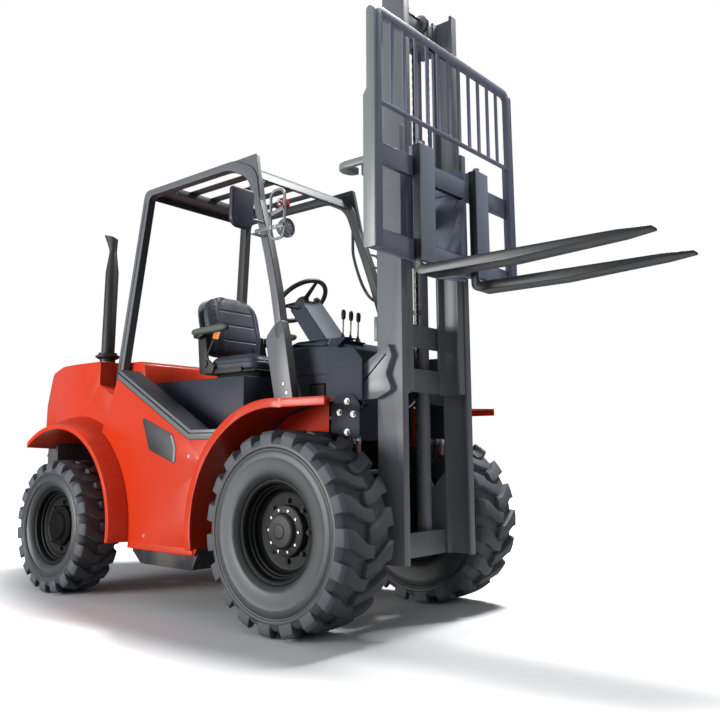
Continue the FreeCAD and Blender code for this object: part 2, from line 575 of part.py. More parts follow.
def rear_body():
    """Hollow engine hood with the rear arch flares and the wheel well liners."""
    hub_z = "rear_r"
    open_below = box("-body_rear - 50", "-body_front + 200", "-body_half_w + body_wall",
                     "body_half_w - body_wall", "body_low - 60", "body_low - 10")
    skin = cut(shell_form("0"), [shell_form("body_wall"), open_below])
    rings = []
    for _, s in sides():
        points = [("arch_r", "body_half_w - 30"), ("arch_r", "flare_out"),
                  ("arch_r + flare_thick", "flare_out"),
                  ("arch_r + flare_width + 10", "body_half_w + 20"),
                  ("arch_r + flare_width + 24", "body_half_w - 30")]
        flare = revolve([(r, "%d * (%s)" % (s, t)) for r, t in points])
        place(flare, "-wheelbase", "0", hub_z)
        rings.append(flare)
        liner = revolve([("arch_r", "%d * liner_in" % s), ("arch_r + 5", "%d * liner_in" % s),
                         ("arch_r + 5", "%d * (body_half_w - 20)" % s),
                         ("arch_r", "%d * (body_half_w - 20)" % s)])
        place(liner, "-wheelbase", "0", hub_z)
        rings.append(liner)
    well = rod_y("-wheelbase", hub_z, "-flare_out - 50", "flare_out + 50", "2 * arch_r")
    floor_cut = box("-body_rear - 300", "0", "-flare_out - 50", "flare_out + 50", "-arch_r", "flare_low")
    tail = box("-body_rear - 300", "-weight_front + 0.3", "-weight_half_w - 8", "weight_half_w + 8",
               "-200", "weight_top + 3")
    flare_end = box("-body_rear - 300", "-wheelbase - 200", "-flare_out - 50", "flare_out + 50",
                    "-200", "flare_tail_z")
    engine_room = box("-weight_front - 50", "-body_front + 100",
                      "-engine_half_w - 60", "engine_half_w + 60", "0",
                      "engine_top + 20")
    rear_ledge = box("-weight_front - 50", "-body_front + 100", "-liner_in - 1", "liner_in + 1", "0",
                     "arch_r + rear_r + 20")
    skin = cut(skin, [well, engine_room, rear_ledge])
    rings = cut(fuse(rings), [floor_cut, tail, flare_end])
    keep("rear_body", fuse([skin, rings] + hinge_mounts()))


def side_panel(side_name, s):
    """Big side panel between the wheels, its top edge following the guard's sill."""
    y0, y1 = across(s, "panel_y - panel_thick", "panel_y")
    outline = [("-seam_low_x + 10", "panel_low"), ("-seam_low_x", "panel_low + 30"),
               ("-seam_mid_x + 130", "seam_mid_z - 250"), ("-seam_mid_x + 2", "seam_mid_z"),
               ("-elbow_x + 217", "elbow_z - 30"),
               ("-sill_turn_x - 30", "sill_z - 32"), ("-panel_front + 140", "sill_z - 32"),
               ("-panel_front + 40", "sill_z - 130"), ("-panel_front", "front_r + 60"),
               ("-panel_front", "panel_low + 30"), ("-panel_front - 20", "panel_low")]
    plate = slab(outline, "XZ", y0, y1)
    arch = rod_y("-wheelbase", "rear_r", "-panel_y - 5", "panel_y + 5",
                 "2 * (arch_r + flare_width + 4)")
    y0, y1 = across(s, "tank_out - 24.7", "panel_y - panel_thick + 1")
    tabs = [box(x, x + " + 60", y0, y1, "chassis_z + chassis_h - 50", "chassis_z + chassis_h")
            for x in ("-outrigger_rear", "-outrigger_front")]
    keep("side_panel_" + side_name, fuse([cut(plate, [arch])] + tabs))


def front_fender(side_name, s):
    """Arched fender over the front wheel with a rolled outer lip and a flat front end."""
    y0, y1 = across(s, "fender_in", "fender_out")
    sweep = revolve([("fender_r", y0), ("fender_r + fender_wall", y0),
                     ("fender_r + fender_wall", y1), ("fender_r", y1)])
    place(sweep, "0", "0", "front_r")
    l0, l1 = across(s, "fender_out - 2", "fender_out + 10")
    lip = revolve([("fender_r - fender_lip", l0), ("fender_r + fender_wall + 2", l0),
                   ("fender_r + fender_wall + 2", l1), ("fender_r - fender_lip", l1)])
    place(lip, "0", "0", "front_r")
    below = box("-fender_r - 100", "fender_r + 100", "-fender_out - 50", "fender_out + 50",
                "-fender_r", "fender_low")
    ahead = box("60", "fender_r + 100", "-fender_out - 50", "fender_out + 50", "-100",
                "front_r + fender_r + 50")
    arch = cut(fuse([sweep, lip]), [below, ahead])
    pad = box("-foot_x - foot_w / 2 - 14", "-foot_x + foot_w / 2 + 14",
              *across(s, "guard_base_y - pillar_thick - 20", "guard_base_y + 8"), "fender_top - 60",
              "foot_z + 2.9")
    pad = cut(pad, [rod_y("0", "front_r", "-fender_out", "fender_out", "2 * fender_r + 6")])
    top = box("59", "fender_front", y0, y1, "front_r + fender_r - 3",
              "front_r + fender_r + fender_wall - 3")
    edge = box("59", "fender_front", l0, l1, "front_r + fender_r - fender_lip",
               "front_r + fender_r + fender_wall - 1")
    inner0, inner1 = across(s, "fender_in - 1", "fender_in + fender_wall")
    wall = slab([("-330", "front_r + 380"), ("-200", "sill_z - 20"), ("60", "sill_z - 20"),
                 ("fender_front - 100", "front_r + fender_r - 90"),
                 ("fender_front", "front_r + fender_r - 40"),
                 ("fender_front", "front_r + fender_r"), ("0", "front_r + fender_r + 2"),
                 ("-240", "front_r + fender_r - 60"), ("-400", "front_r + fender_r - 170")],
                "XZ", inner0, inner1)
    keep("front_fender_" + side_name, fuse([arch, top, edge, wall, pad]))


# ---------------------------------------------------------------------------
# Operator's place
# ---------------------------------------------------------------------------
def engine_cover():
    """Lid under the seat: opens with the seat on a hinge behind its rear edge."""
    outer = box("-cover_rear", "-cover_front", "-cover_half_w", "cover_half_w",
                "sill_z + floor_thick + 0.3", "cover_top")
    inner = box("-cover_rear - 10", "-cover_front - cover_wall", "-cover_half_w + cover_wall",
                "cover_half_w - cover_wall", "sill_z - 50", "cover_top - cover_wall")
    leaves, bores = [], []
    for _, s in sides():
        y0, y1 = across(s, "150", "hinge_y - 5")
        leaves += [rod_y("-hinge_x", "hinge_z", y0, y1, "hinge_d"),
                   box("-hinge_x", "-cover_rear + 20", y0, y1, "cover_top - cover_wall", "cover_top - 1")]
        bores.append(rod_y("-hinge_x", "hinge_z", "%s - 5" % y0, "%s + 5" % y1,
                           "hinge_pin_d + 2 * shaft_gap"))
    keep("engine_cover", cut(fuse([cut(outer, [inner])] + leaves), bores))


def hinge_mounts():
    """Lugs on the hood's front wall with the pins of the engine cover's hinge."""
    pieces = []
    for _, s in sides():
        y0, y1 = across(s, "hinge_y", "hinge_y + 40")
        pieces += [box("-body_front - body_wall + 1", "-hinge_x", y0, y1, "hinge_z - hinge_d / 2",
                       "hinge_z + hinge_d / 2"),
                   rod_y("-hinge_x", "hinge_z", y0, y1, "hinge_d")]
        y0, y1 = across(s, "146", "hinge_y + 20")
        pieces.append(rod_y("-hinge_x", "hinge_z", y0, y1, "hinge_pin_d"))
    return pieces


def floor_plate():
    """Floor and the two side decks that the engine cover sits between."""
    z1 = "sill_z + floor_thick"
    front = [box("-cover_front + 6", "-cowl_rear - 130", "-floor_half_w", "floor_half_w", "sill_z", z1),
             box("-cowl_rear - 131", "-cowl_rear - 4", "-cowl_half_w", "cowl_half_w", "sill_z", z1)]
    decks = [box("-tank_rear", "-cover_front + 7", y0, y1, "sill_z", z1)
             for y0, y1 in (across(s, "cover_half_w - 20", "floor_half_w") for _, s in sides())]
    posts = []
    for _, s in sides():
        for x in ("-outrigger_rear", "-outrigger_front"):
            y0, y1 = across(s, "cover_half_w + 30", "cover_half_w + 70")
            posts.append(box(x, x + " + 40", y0, y1, "chassis_z + chassis_h + 0.3", "sill_z + 1"))
    keep("floor_plate", fuse(front + decks + posts))


def tanks():
    """Fuel tank on the right and hydraulic tank on the left, their lower edges as steps."""
    pieces = []
    for _, s in sides():
        y0, y1 = across(s, "tank_in", "tank_out")
        pieces.append(slab([("-tank_rear", "tank_low + 60"), ("-tank_rear", "tank_top"),
                            ("-tank_front - 60", "tank_top"), ("-tank_front - 60", "tank_low + 80"),
                            ("-tank_front - 100", "tank_low"), ("-tank_rear + 80", "tank_low")],
                           "XZ", y0, y1, [(5, "20"), (4, "20")]))
    keep("side_tanks", group(pieces))


def column_rod(radius):
    """Cylinder on the steering column's axis, its top just under the steering wheel."""
    rod = doc.addObject("Part::Cylinder", "Column")
    bind(rod, Radius=radius, Height="column_l")
    turn(rod, (0, 1, 0), "-wheel_tilt")
    return place(rod, "-wheel_x + (34 + column_l) * sin(wheel_tilt * 1 deg)", "0",
                 "wheel_z - (34 + column_l) * cos(wheel_tilt * 1 deg)")


def dash_form(inset):
    i = " + %s" % inset
    return slab([("-cowl_rear" + i, "sill_z + 2"), ("-cowl_rear + 18" + i, "cowl_top - 100"),
                 ("-cowl_rear + 60" + i, "cowl_top - 20 - %s" % inset),
                 ("-cowl_rear + 90" + i, "cowl_top - %s" % inset),
                 ("cowl_front - 30 - %s" % inset, "cowl_top - %s" % inset),
                 ("cowl_front - %s" % inset, "cowl_top - 40 - %s" % inset),
                 ("cowl_front - %s" % inset, "sill_z + 2")], "XZ", "-cowl_half_w + %s" % inset,
                "cowl_half_w - %s" % inset)


def cowl():
    """Dash housing with its instrument pod, open at the front for the mast's tilt gear."""
    hollow = cut(dash_form("0"), [dash_form("cowl_wall")])
    pod = slab([("-wheel_x + 71", "wheel_z + 1"), ("-wheel_x - 5", "wheel_z - 63"),
                ("-wheel_x + 137", "wheel_z - 243"), ("-cowl_rear + 40", "cowl_top - 40"),
                ("-wheel_x + 320", "cowl_top - 2")], "XZ", "-pod_half_w", "pod_half_w",
               [(0, "22"), (1, "14")])
    bevels, bays, wings, shoulders = [], [], [], []
    for _, s in sides():
        y0, y1 = across(s, "mast_bay", "cowl_half_w - 22")
        bays.append(box("cowl_front - 60", "cowl_front + 5", y0, y1, "sill_z - 5", "cowl_top - 105"))
        outline = [("shoulder_in", "cowl_top"), ("cowl_half_w - 62", "cowl_top"),
                   ("cowl_half_w", "cowl_top - 53"), ("cowl_half_w", "cowl_top - 62"),
                   ("cowl_half_w - 6", "cowl_top - 62"), ("cowl_half_w - 65", "cowl_top - 7"),
                   ("shoulder_in", "cowl_top - 7")]
        shoulders.append(slab([("%d * (%s)" % (s, y), z) for y, z in outline], "YZ",
                              "cowl_front - 40", "shoulder_front"))
        edge = "%d * cowl_half_w" % s
        bevels.append(slab([("%s + %d" % (edge, 3 * s), "cowl_top - 52"),
                            ("%s + %d" % (edge, 3 * s), "cowl_top + 3"),
                            ("%s - %d" % (edge, 62 * s), "cowl_top + 3")], "YZ", "-cowl_rear - 5",
                           "cowl_front + 5"))
        y0, y1 = across(s, "cowl_half_w - cowl_wall", "cowl_half_w")
        wings.append(slab([("cowl_front - 20", "fender_top + 4"), ("wing_front", "fender_top + 4"),
                           ("wing_front", "cowl_top - 130"), ("wing_front - 60", "cowl_top - 62"),
                           ("cowl_front - 20", "cowl_top - 62")], "XZ", y0, y1))
    recess = [box("-100", "10", *across(s, "cowl_half_w - cowl_wall - 2", "cowl_half_w + 5"),
                  "fender_top + 6", "fender_top + 96") for _, s in sides()]
    body = cut(fuse([hollow, pod]), bays + bevels + [column_rod("column_d / 2 + shaft_gap")])
    skirt = slab([("-cowl_half_w + 2", "cowl_top - 50"), ("-cowl_half_w + 62", "cowl_top"),
                  ("cowl_half_w - 62", "cowl_top"), ("cowl_half_w - 2", "cowl_top - 50"),
                  ("cowl_half_w - 8", "cowl_top - 54"), ("cowl_half_w - 65", "cowl_top - 6"),
                  ("-cowl_half_w + 65", "cowl_top - 6"), ("-cowl_half_w + 8", "cowl_top - 54")],
                 "YZ", "-cowl_rear + 90", "cowl_front - 30")
    skirt = cut(skirt, [column_rod("column_d / 2 + shaft_gap")])
    keep("cowl", cut(fuse([body, skirt] + wings + shoulders), recess))


def steering():
    """Column leaning back from the cowl, and the wheel that turns on it."""
    keep("steering_column", group([column_rod("column_d / 2")]))
    rim = doc.addObject("Part::Torus", "WheelRim")
    bind(rim, Radius1="wheel_d / 2 - wheel_rim_d / 2", Radius2="wheel_rim_d / 2")
    hub = rod_z("0", "0", "-28", "22", "84")
    neck = rod_z("0", "0", "-33.7", "-27", "34")
    spokes = []
    for i in range(3):
        spoke = box("0", "wheel_d / 2 - wheel_rim_d / 2", "-14", "14", "-8", "2")
        spoke.Placement.Rotation = FreeCAD.Rotation(FreeCAD.Vector(0, 0, 1), 120 * i + 60)
        place(spoke, "%.6f" % (14 * math.sin(math.radians(120 * i + 60))),
              "%.6f" % (-14 * math.cos(math.radians(120 * i + 60))), "-8")
        spokes.append(spoke)
    wheel_piece = fuse([rim, hub, neck] + spokes)
    turn(wheel_piece, (0, 1, 0), "-wheel_tilt")
    keep("steering_wheel", wheel_piece, "axle_x - wheel_x", "0", "wheel_z")


def levers():
    """Three hydraulic levers in rubber boots on the right of the cowl's top."""
    pieces = []
    for i in range(3):
        y = "-lever_y - %d * lever_pitch" % i
        x = "-lever_x"
        stick = rod_z(x, y, "cowl_top + 1", "cowl_top + lever_l", "lever_d")
        boot = doc.addObject("Part::Cone", "Boot")
        bind(boot, Radius1="20", Radius2="9", Height="44")
        place(boot, x, y, "cowl_top + 0.3")
        knob = doc.addObject("Part::Sphere", "Knob")
        bind(knob, Radius="15")
        place(knob, x, y, "cowl_top + lever_l")
        pieces.append(fuse([stick, boot, knob]))
    keep("control_levers", group(pieces))


def seat():
    """Seat mount, cushion, backrest and armrests on the engine cover."""
    x0, x1 = "-seat_x - seat_deep / 2", "-seat_x + seat_deep / 2"
    base = box(x0 + " + 30", x1 + " - 30", "-seat_w / 2 + 40", "seat_w / 2 - 40",
               "cover_top + 0.3", "seat_z")
    spine = box(x0 + " - 62", x0 + " - 38", "-120", "120", "seat_z - 40", "seat_z + 260")
    link = box(x0 + " - 62", x0 + " + 40", "-120", "120", "seat_z - 40", "seat_z - 1")
    pieces = [base, spine, link]
    for _, s in sides():
        y0, y1 = across(s, "seat_w / 2 + 6", "seat_w / 2 + 6 + armrest_w")
        pieces.append(box(x0 + " - 40", x0 + " - 40 + armrest_l", y0, y1, "armrest_z",
                          "armrest_z + 50"))
        y0, y1 = across(s, "100", "seat_w / 2 + 30")
        pieces.append(box(x0 + " - 62", x0 + " - 38", y0, y1, "seat_z + 200", "seat_z + 240"))
        y0, y1 = across(s, "seat_w / 2 + 10", "seat_w / 2 + 34")
        pieces.append(box(x0 + " - 62", x0 + " - 10", y0, y1, "seat_z + 200", "armrest_z + 40"))
    keep("seat_frame", fuse(pieces))
    cushion = slab([(x0, "seat_z + 0.3"), (x0, "seat_z + cushion_h - 20"),
                    (x1, "seat_z + cushion_h"), (x1, "seat_z + 0.3")], "XZ", "-seat_w / 2",
                   "seat_w / 2", [(2, "35")])
    keep("seat_cushion", cushion)
    lean = "back_h * tan(back_lean * 1 deg)"
    z0 = "seat_z + cushion_h + 14"
    back = slab([(x0 + " - 37.7", z0), (x0 + " - 37.7", z0 + " + 152"),
                 (x0 + " - 37.7 - %s" % lean, z0 + " + back_h"),
                 (x0 + " - 37.7 + back_thick - %s" % lean, z0 + " + back_h"),
                 (x0 + " - 37.7 + back_thick", z0)], "XZ", "-seat_w / 2 + 15", "seat_w / 2 - 15",
                [(3, "40")])
    keep("seat_backrest", back)


# ---------------------------------------------------------------------------
# Overhead guard
# ---------------------------------------------------------------------------
def guard_side(side_name, s):
    """Side frame: rear pillar, diagonal sill, arched front pillar and roof rail."""
    w = "pillar_w"
    front = [("-guard_front_top + 8", "guard_top - 18"), ("-guard_front_top + 26", "guard_top - 140"),
             ("-guard_front_top + 54", "guard_top - 290"), ("-guard_front_top + 126", "guard_top - 480"),
             ("-guard_front_top + 185", "guard_top - 660"),
             ("-guard_front_top + 239", "guard_top - 840"),
             ("-guard_front_top + 279", "guard_top - 1010"),
             ("-foot_x - 15", "foot_z + 334"), ("-foot_x + foot_w / 2", "foot_z + 6"),
             ("-foot_x - foot_w / 2", "foot_z + 6"), ("-foot_x - 150", "foot_z + 340"),
             ("-guard_front_top + 214", "foot_z + 380"),
             ("-guard_front_top + 220", "guard_top - 1010"),
             ("-guard_front_top + 182", "guard_top - 840"),
             ("-guard_front_top + 128", "guard_top - 660"),
             ("-guard_front_top + 68", "guard_top - 480"),
             ("-guard_front_top + 2", "guard_top - 310"),
             ("-guard_front_top - %s + 20" % w, "guard_top - 190"),
             ("-guard_front_top - %s - 60" % w, "guard_top - 82"),
             ("-guard_rear_top + %s + 16" % w, "guard_top - 66"),
             ("-elbow_x + %s + 8" % w, "elbow_z + 10"),
             ("-sill_turn_x + 10", "guard_seat + 52"), ("-panel_front + 60", "guard_seat + 52"),
             ("-panel_front + 60", "guard_seat"), ("-sill_turn_x - 22", "guard_seat"),
             ("-elbow_x - 30", "elbow_z - 30"), ("-guard_rear_top - 8", "guard_top - 22")]
    y0, y1 = across(s, "guard_base_y - pillar_thick", "guard_base_y")
    plate = slab(front, "XZ", y0, y1)
    frame = group([plate])
    turn(frame, (1, 0, 0), "%d * guard_lean" % s)
    pivot = "guard_base_y * %d" % s
    keep("guard_" + side_name, frame, "axle_x",
         "%s - (%s) * cos(guard_lean * 1 deg) + sill_z * sin(guard_lean * 1 deg) * %d" % (pivot, pivot, s),
         "sill_z - sill_z * cos(guard_lean * 1 deg) - guard_base_y * sin(guard_lean * 1 deg)")


def guard_roof():
    """Front and rear cross plates with slats running fore and aft between them."""
    z0, z1 = "guard_top - 56", "guard_top - 26"
    half = ("(guard_base_y - pillar_thick) * cos(guard_lean * 1 deg)"
            " - (guard_top - 26 - sill_z) * sin(guard_lean * 1 deg) - 0.3")
    rear = box("-guard_rear_top + 20", "-guard_rear_top + 20 + 3 * roof_bar", "-(%s)" % half, half,
               z0, z1)
    front = box("-guard_front_top - 80 - roof_bar", "-guard_front_top - 80", "-(%s)" % half,
                half, z0, z1)
    pieces = [rear, front]
    for i in range(int(sheet.slat_count)):
        y = "(%d - (slat_count - 1) / 2) * 2 * (%s) / (slat_count + 1)" % (i, half)
        pieces.append(box("-guard_rear_top + 19 + 3 * roof_bar", "-guard_front_top - 79 - roof_bar",
                          y + " - slat_w / 2", y + " + slat_w / 2", z1 + " - slat_thick", z1))
    keep("guard_roof", fuse(pieces))


# ---------------------------------------------------------------------------
# Lamps, mirrors and exhaust
# ---------------------------------------------------------------------------
def pillar_out_y(z):
    """Outer face of the leaning guard at a height."""
    return "guard_base_y - ((%s) - sill_z) * tan(guard_lean * 1 deg)" % z


def lamps():
    """Headlamp and turn signal inside a loop bracket ahead of each front pillar."""
    pieces = []
    for _, s in sides():
        y0, y1 = across(s, "lamp_y + lamp_d / 2 - 4", "lamp_y + lamp_d / 2 - 4 + loop_bar")
        frame = cut(box("-loop_rear", "-loop_front", y0, y1, "loop_low", "loop_top"),
                    [box("-loop_rear + loop_bar", "-loop_front - loop_bar", y0, y1,
                         "loop_low + loop_bar", "loop_top - loop_bar")])
        middle = "(lamp_z + lamp_d / 2 + signal_z - signal_d / 2) / 2"
        strap = box("-loop_rear + 1", "-loop_front - 1", y0, y1, middle + " - loop_bar / 2",
                    middle + " + loop_bar / 2")
        a0, a1 = across(s, pillar_out_y("lamp_z - loop_bar") + " + 0.3",
                        "lamp_y + lamp_d / 2 - 4 + loop_bar")
        foot = box("-lamp_arm_x", "-lamp_arm_x + lamp_arm_w", a0, a1, "lamp_z - loop_bar",
                   "lamp_z + loop_bar")
        arm = box("-lamp_arm_x + lamp_arm_w - 1", "-loop_front - 1", y0, y1, "lamp_z - loop_bar",
                  "lamp_z + loop_bar")
        lamp = rod_x("%d * lamp_y" % s, "lamp_z", "-lamp_x - lamp_deep", "-lamp_x", "lamp_d")
        signal = rod_x("%d * lamp_y" % s, "signal_z", "-lamp_x - signal_deep - 10", "-lamp_x - 10",
                       "signal_d")
        a0, a1 = across(s, "lamp_y", "lamp_y + lamp_d / 2 - 3")
        seat = box("-loop_rear + 1", "-loop_front - 1", a0, a1, "signal_z - loop_bar / 2",
                   "signal_z + loop_bar / 2")
        pieces.append(fuse([frame, strap, foot, arm, lamp, signal, seat]))
    keep("front_lamps", group(pieces))


def mirrors():
    """Mirror housing outside each front pillar, on an arm whose foot sits on the pillar."""
    pieces = []
    for _, s in sides():
        z = "mirror_z - 40"
        y0, y1 = across(s, pillar_out_y(z + " - 8") + " + 0.3", "mirror_y - mirror_w / 2 + 10")
        arm = rod_y("-mirror_x - 8", z, y0, y1, "16")
        y0, y1 = across(s, "mirror_y - mirror_w / 2", "mirror_y + mirror_w / 2")
        head = slab([("-mirror_x - mirror_deep / 2", "mirror_z - mirror_h / 2"),
                     ("-mirror_x + mirror_deep / 2", "mirror_z - mirror_h / 2 + 10"),
                     ("-mirror_x + mirror_deep / 2", "mirror_z + mirror_h / 2 - 10"),
                     ("-mirror_x - mirror_deep / 2", "mirror_z + mirror_h / 2")],
                    "XZ", y0, y1, [(1, "15"), (2, "15")])
        pieces.append(fuse([arm, head]))
    keep("mirrors", group(pieces))


def rear_lamps():
    pieces = []
    for _, s in sides():
        y0, y1 = across(s, "body_half_w - 200", "body_half_w - 200 + rear_lamp_w")
        pieces.append(box("-body_rear - rear_lamp_out", "-body_rear - 0.3", y0, y1, "body_low + 15",
                          "body_low + 15 + rear_lamp_h"))
    keep("rear_lamps", group(pieces))


def exhaust():
    """Upright pipe behind the guard with a collar, a neck and a scooped outlet."""
    x, y = "-exhaust_x", "-exhaust_y"
    foot = rod_z(x, y, "body_top + 0.3", "body_top + 12", "collar_d")
    pipe = rod_z(x, y, "body_top + 5", "exhaust_neck - 80", "exhaust_d")
    collar = rod_z(x, y, "collar_z", "collar_z + collar_h", "collar_d")
    neck = doc.addObject("Part::Cone", "Neck")
    bind(neck, Radius1="exhaust_d / 2", Radius2="exhaust_tip_d / 2", Height="81")
    place(neck, x, y, "exhaust_neck - 81")
    tip = rod_z(x, y, "exhaust_neck - 1", "exhaust_top", "exhaust_tip_d")
    bore = rod_z(x, y, "exhaust_neck - 20", "exhaust_top + 10", "exhaust_tip_d - 2 * tube_wall")
    slant = slab([("-exhaust_x - exhaust_tip_d", "exhaust_top + 1"),
                  ("-exhaust_x + exhaust_tip_d", "exhaust_top + 1"),
                  ("-exhaust_x + exhaust_tip_d", "exhaust_top - 50")], "XZ",
                 "-exhaust_y - exhaust_tip_d", "-exhaust_y + exhaust_tip_d")
    keep("exhaust", cut(fuse([foot, pipe, collar, neck, tip]), [bore, slant]))


# ---------------------------------------------------------------------------
# Mast
# ---------------------------------------------------------------------------
def channel(out_y, width, inset, s, z0, z1):
    """Rolled channel rail, its web outside and its two flanges turned inward."""
    def y(depth):
        return "%d * (%s - (%s))" % (s, out_y, depth)
    rear, front = "mast_rear + %s" % inset, "mast_front - %s" % inset
    return slab([(rear, y("0")), (front, y("0")), (front, y(width)),
                 (front + " - rail_flange", y(width)), (front + " - rail_flange", y("rail_web")),
                 (rear + " + rail_flange", y("rail_web")), (rear + " + rail_flange", y(width)),
                 (rear, y(width))], "XY", z0, z1)


def outer_rail(side_name, s):
    """Outer rail with its pivot bracket and the cast ear for the tilt cylinder."""
    rail = channel("mast_half_w", "rail_w", "0", s, "mast_low", "outer_top")
    y0, y1 = across(s, "mast_half_w - rail_w", "mast_half_w - 9")
    bracket = slab([("pivot_x - pivot_boss_d / 2", "pivot_z - 30"),
                    ("pivot_x - 30", "pivot_z - pivot_boss_d / 2"),
                    ("mast_rear + 1", "pivot_z - 150"), ("mast_rear + 1", "pivot_z + 220"),
                    ("pivot_x - 20", "pivot_z + pivot_boss_d / 2"),
                    ("pivot_x - pivot_boss_d / 2", "pivot_z + 30")], "XZ", y0, y1)
    bore = rod_y("pivot_x", "pivot_z", "-mast_half_w - 5", "mast_half_w + 5", "pivot_d + 2 * shaft_gap")
    y0, y1 = across(s, "mast_half_w - 0.5", "ear_out")
    ear = slab([("ear_x - 16", "ear_z - 55"), ("ear_x + 75", "ear_z - 72"), ("ear_x + 160", "ear_z - 70"),
                ("mast_front - 40", "ear_z - 30"), ("mast_front - 75", "ear_z + 50"),
                ("mast_front - 38", "ear_z + 135"), ("mast_front - 60", "ear_z + 190"),
                ("ear_x + 90", "ear_z + 110"), ("ear_x + 24", "ear_z + 34"),
                ("ear_x - 30", "ear_z + 20")], "XZ", y0, y1, [(5, "15"), (3, "20"), (4, "40")])
    p0, p1 = across(s, "tilt_y - eye_w / 2 - 12", "ear_out - 1")
    pin = rod_y("ear_x", "ear_z", p0, p1, "tilt_pin_d")
    keep("outer_rail_" + side_name, cut(fuse([rail, bracket, ear, pin]), [bore]))


def outer_ties():
    """Foot plate, rear ties, chain anchors and the crown that bulges behind the cylinders."""
    foot = box("lift_x - 60", "mast_rear - 1", "-outer_in_y", "outer_in_y", "mast_low",
               "mast_low + 24")
    low = box("mast_rear - tie_thick", "mast_rear", "-outer_in_y + 0.3", "outer_in_y - 0.3", "mast_low",
              "mast_low + tie_h")
    mid = box("mast_rear - tie_thick", "mast_rear", "-mast_half_w", "mast_half_w", "mid_tie_z",
              "mid_tie_z + tie_h")
    z0, z1 = "outer_top - crown_drop", "outer_top - crown_drop + crown_h"
    crown = slab([("mast_rear + 90", "-mast_half_w"), ("mast_rear + 90", "-mast_half_w - 22"),
                  ("mast_rear - 60", "-mast_half_w - 22"),
                  ("mast_rear - crown_deep", "-mast_half_w + 60"),
                  ("mast_rear - crown_deep", "mast_half_w - 60"), ("mast_rear - 60", "mast_half_w + 22"),
                  ("mast_rear + 90", "mast_half_w + 22"), ("mast_rear + 90", "mast_half_w"),
                  ("mast_rear - 50", "mast_half_w"), ("mast_rear - crown_deep + 26", "mast_half_w - 70"),
                  ("mast_rear - crown_deep + 26", "-mast_half_w + 70"), ("mast_rear - 50", "-mast_half_w")],
                 "XY", z0, z1, [(3, "60"), (4, "60"), (2, "50"), (5, "50")])
    keep("outer_ties", group([fuse([foot, low]), mid, crown]))


def lift_cylinders():
    """Two lift barrels on the outer mast's foot and their rods up to the inner mast's head."""
    barrels, rods = [], []
    for _, s in sides():
        y = "%d * lift_y" % s
        tube = rod_z("lift_x", y, "mast_low + 24", "barrel_top", "barrel_d")
        gland = rod_z("lift_x", y, "barrel_top - 34", "barrel_top + 20", "gland_d")
        bore = rod_z("lift_x", y, "mast_low + 44", "barrel_top + 30", "rod_d + 2 * cylinder_gap")
        barrels.append(cut(fuse([tube, gland]), [bore]))
        rods.append(rod_z("lift_x", y, "barrel_top - lift_stroke - 100 + mast_lift", "head_z", "rod_d"))
    keep("lift_barrels", group(barrels))
    keep("lift_rods", group(rods))


def inner_rail(side_name, s):
    """Inner rail with the roller that runs in the outer rail's channel."""
    rail = channel("inner_out_y", "inner_rail_w", "mast_gap", s, "inner_low", "inner_top")
    y0, y1 = across(s, "inner_out_y - 2", "inner_out_y + roller_w")
    roller = rod_y("rail_mid", "inner_low + 90", y0, y1,
                   "mast_front - mast_rear - 2 * rail_flange - 2 * roller_gap")
    keep("inner_rail_" + side_name, fuse([rail, roller]))


def inner_ties():
    """Ties between the inner rails, the head that the lift rods push, and the chain sheaves."""
    reach = "inner_out_y - inner_rail_w - 0.3"
    pieces = []
    for z in ("inner_low + 6", "inner_low + 900", "inner_top - 150"):
        pieces.append(box("inner_rear", "inner_rear + 14", "-(%s)" % reach, reach, z, z + " + tie_h"))
    head = fuse([box("lift_x - 27", "inner_rear - 0.3", "-inner_out_y", "inner_out_y", "head_z",
                     "head_z + 24"),
                 box("inner_rear - 1", "inner_rear + 14", "-(%s)" % reach, reach, "head_z",
                     "head_z + 24")])
    slots = []
    sheaves = []
    for _, s in sides():
        y = "%d * chain_y" % s
        slots.append(box("sheave_x - sheave_d / 2 - 14", "sheave_x - sheave_d / 2 + 14",
                         y + " - chain_w / 2 - 3", y + " + chain_w / 2 + 3", "head_z - 5", "head_z + 30"))
        sheaves.append(rod_y("sheave_x", "sheave_z", y + " - sheave_w / 2", y + " + sheave_w / 2",
                             "sheave_d - chain_thick - 0.6"))
        sheaves.append(rod_y("sheave_x", "sheave_z", y + " - sheave_w / 2 - 14",
                             y + " + sheave_w / 2 + 14", "30"))
        for end in (" - sheave_w / 2 - 13", " + sheave_w / 2 + 1"):
            sheaves.append(box("sheave_x - 18", "sheave_x + 18", y + end, y + end + " + 12",
                               "head_z + 20", "sheave_z + 22"))
    keep("inner_ties", fuse([cut(head, slots)] + pieces + sheaves))


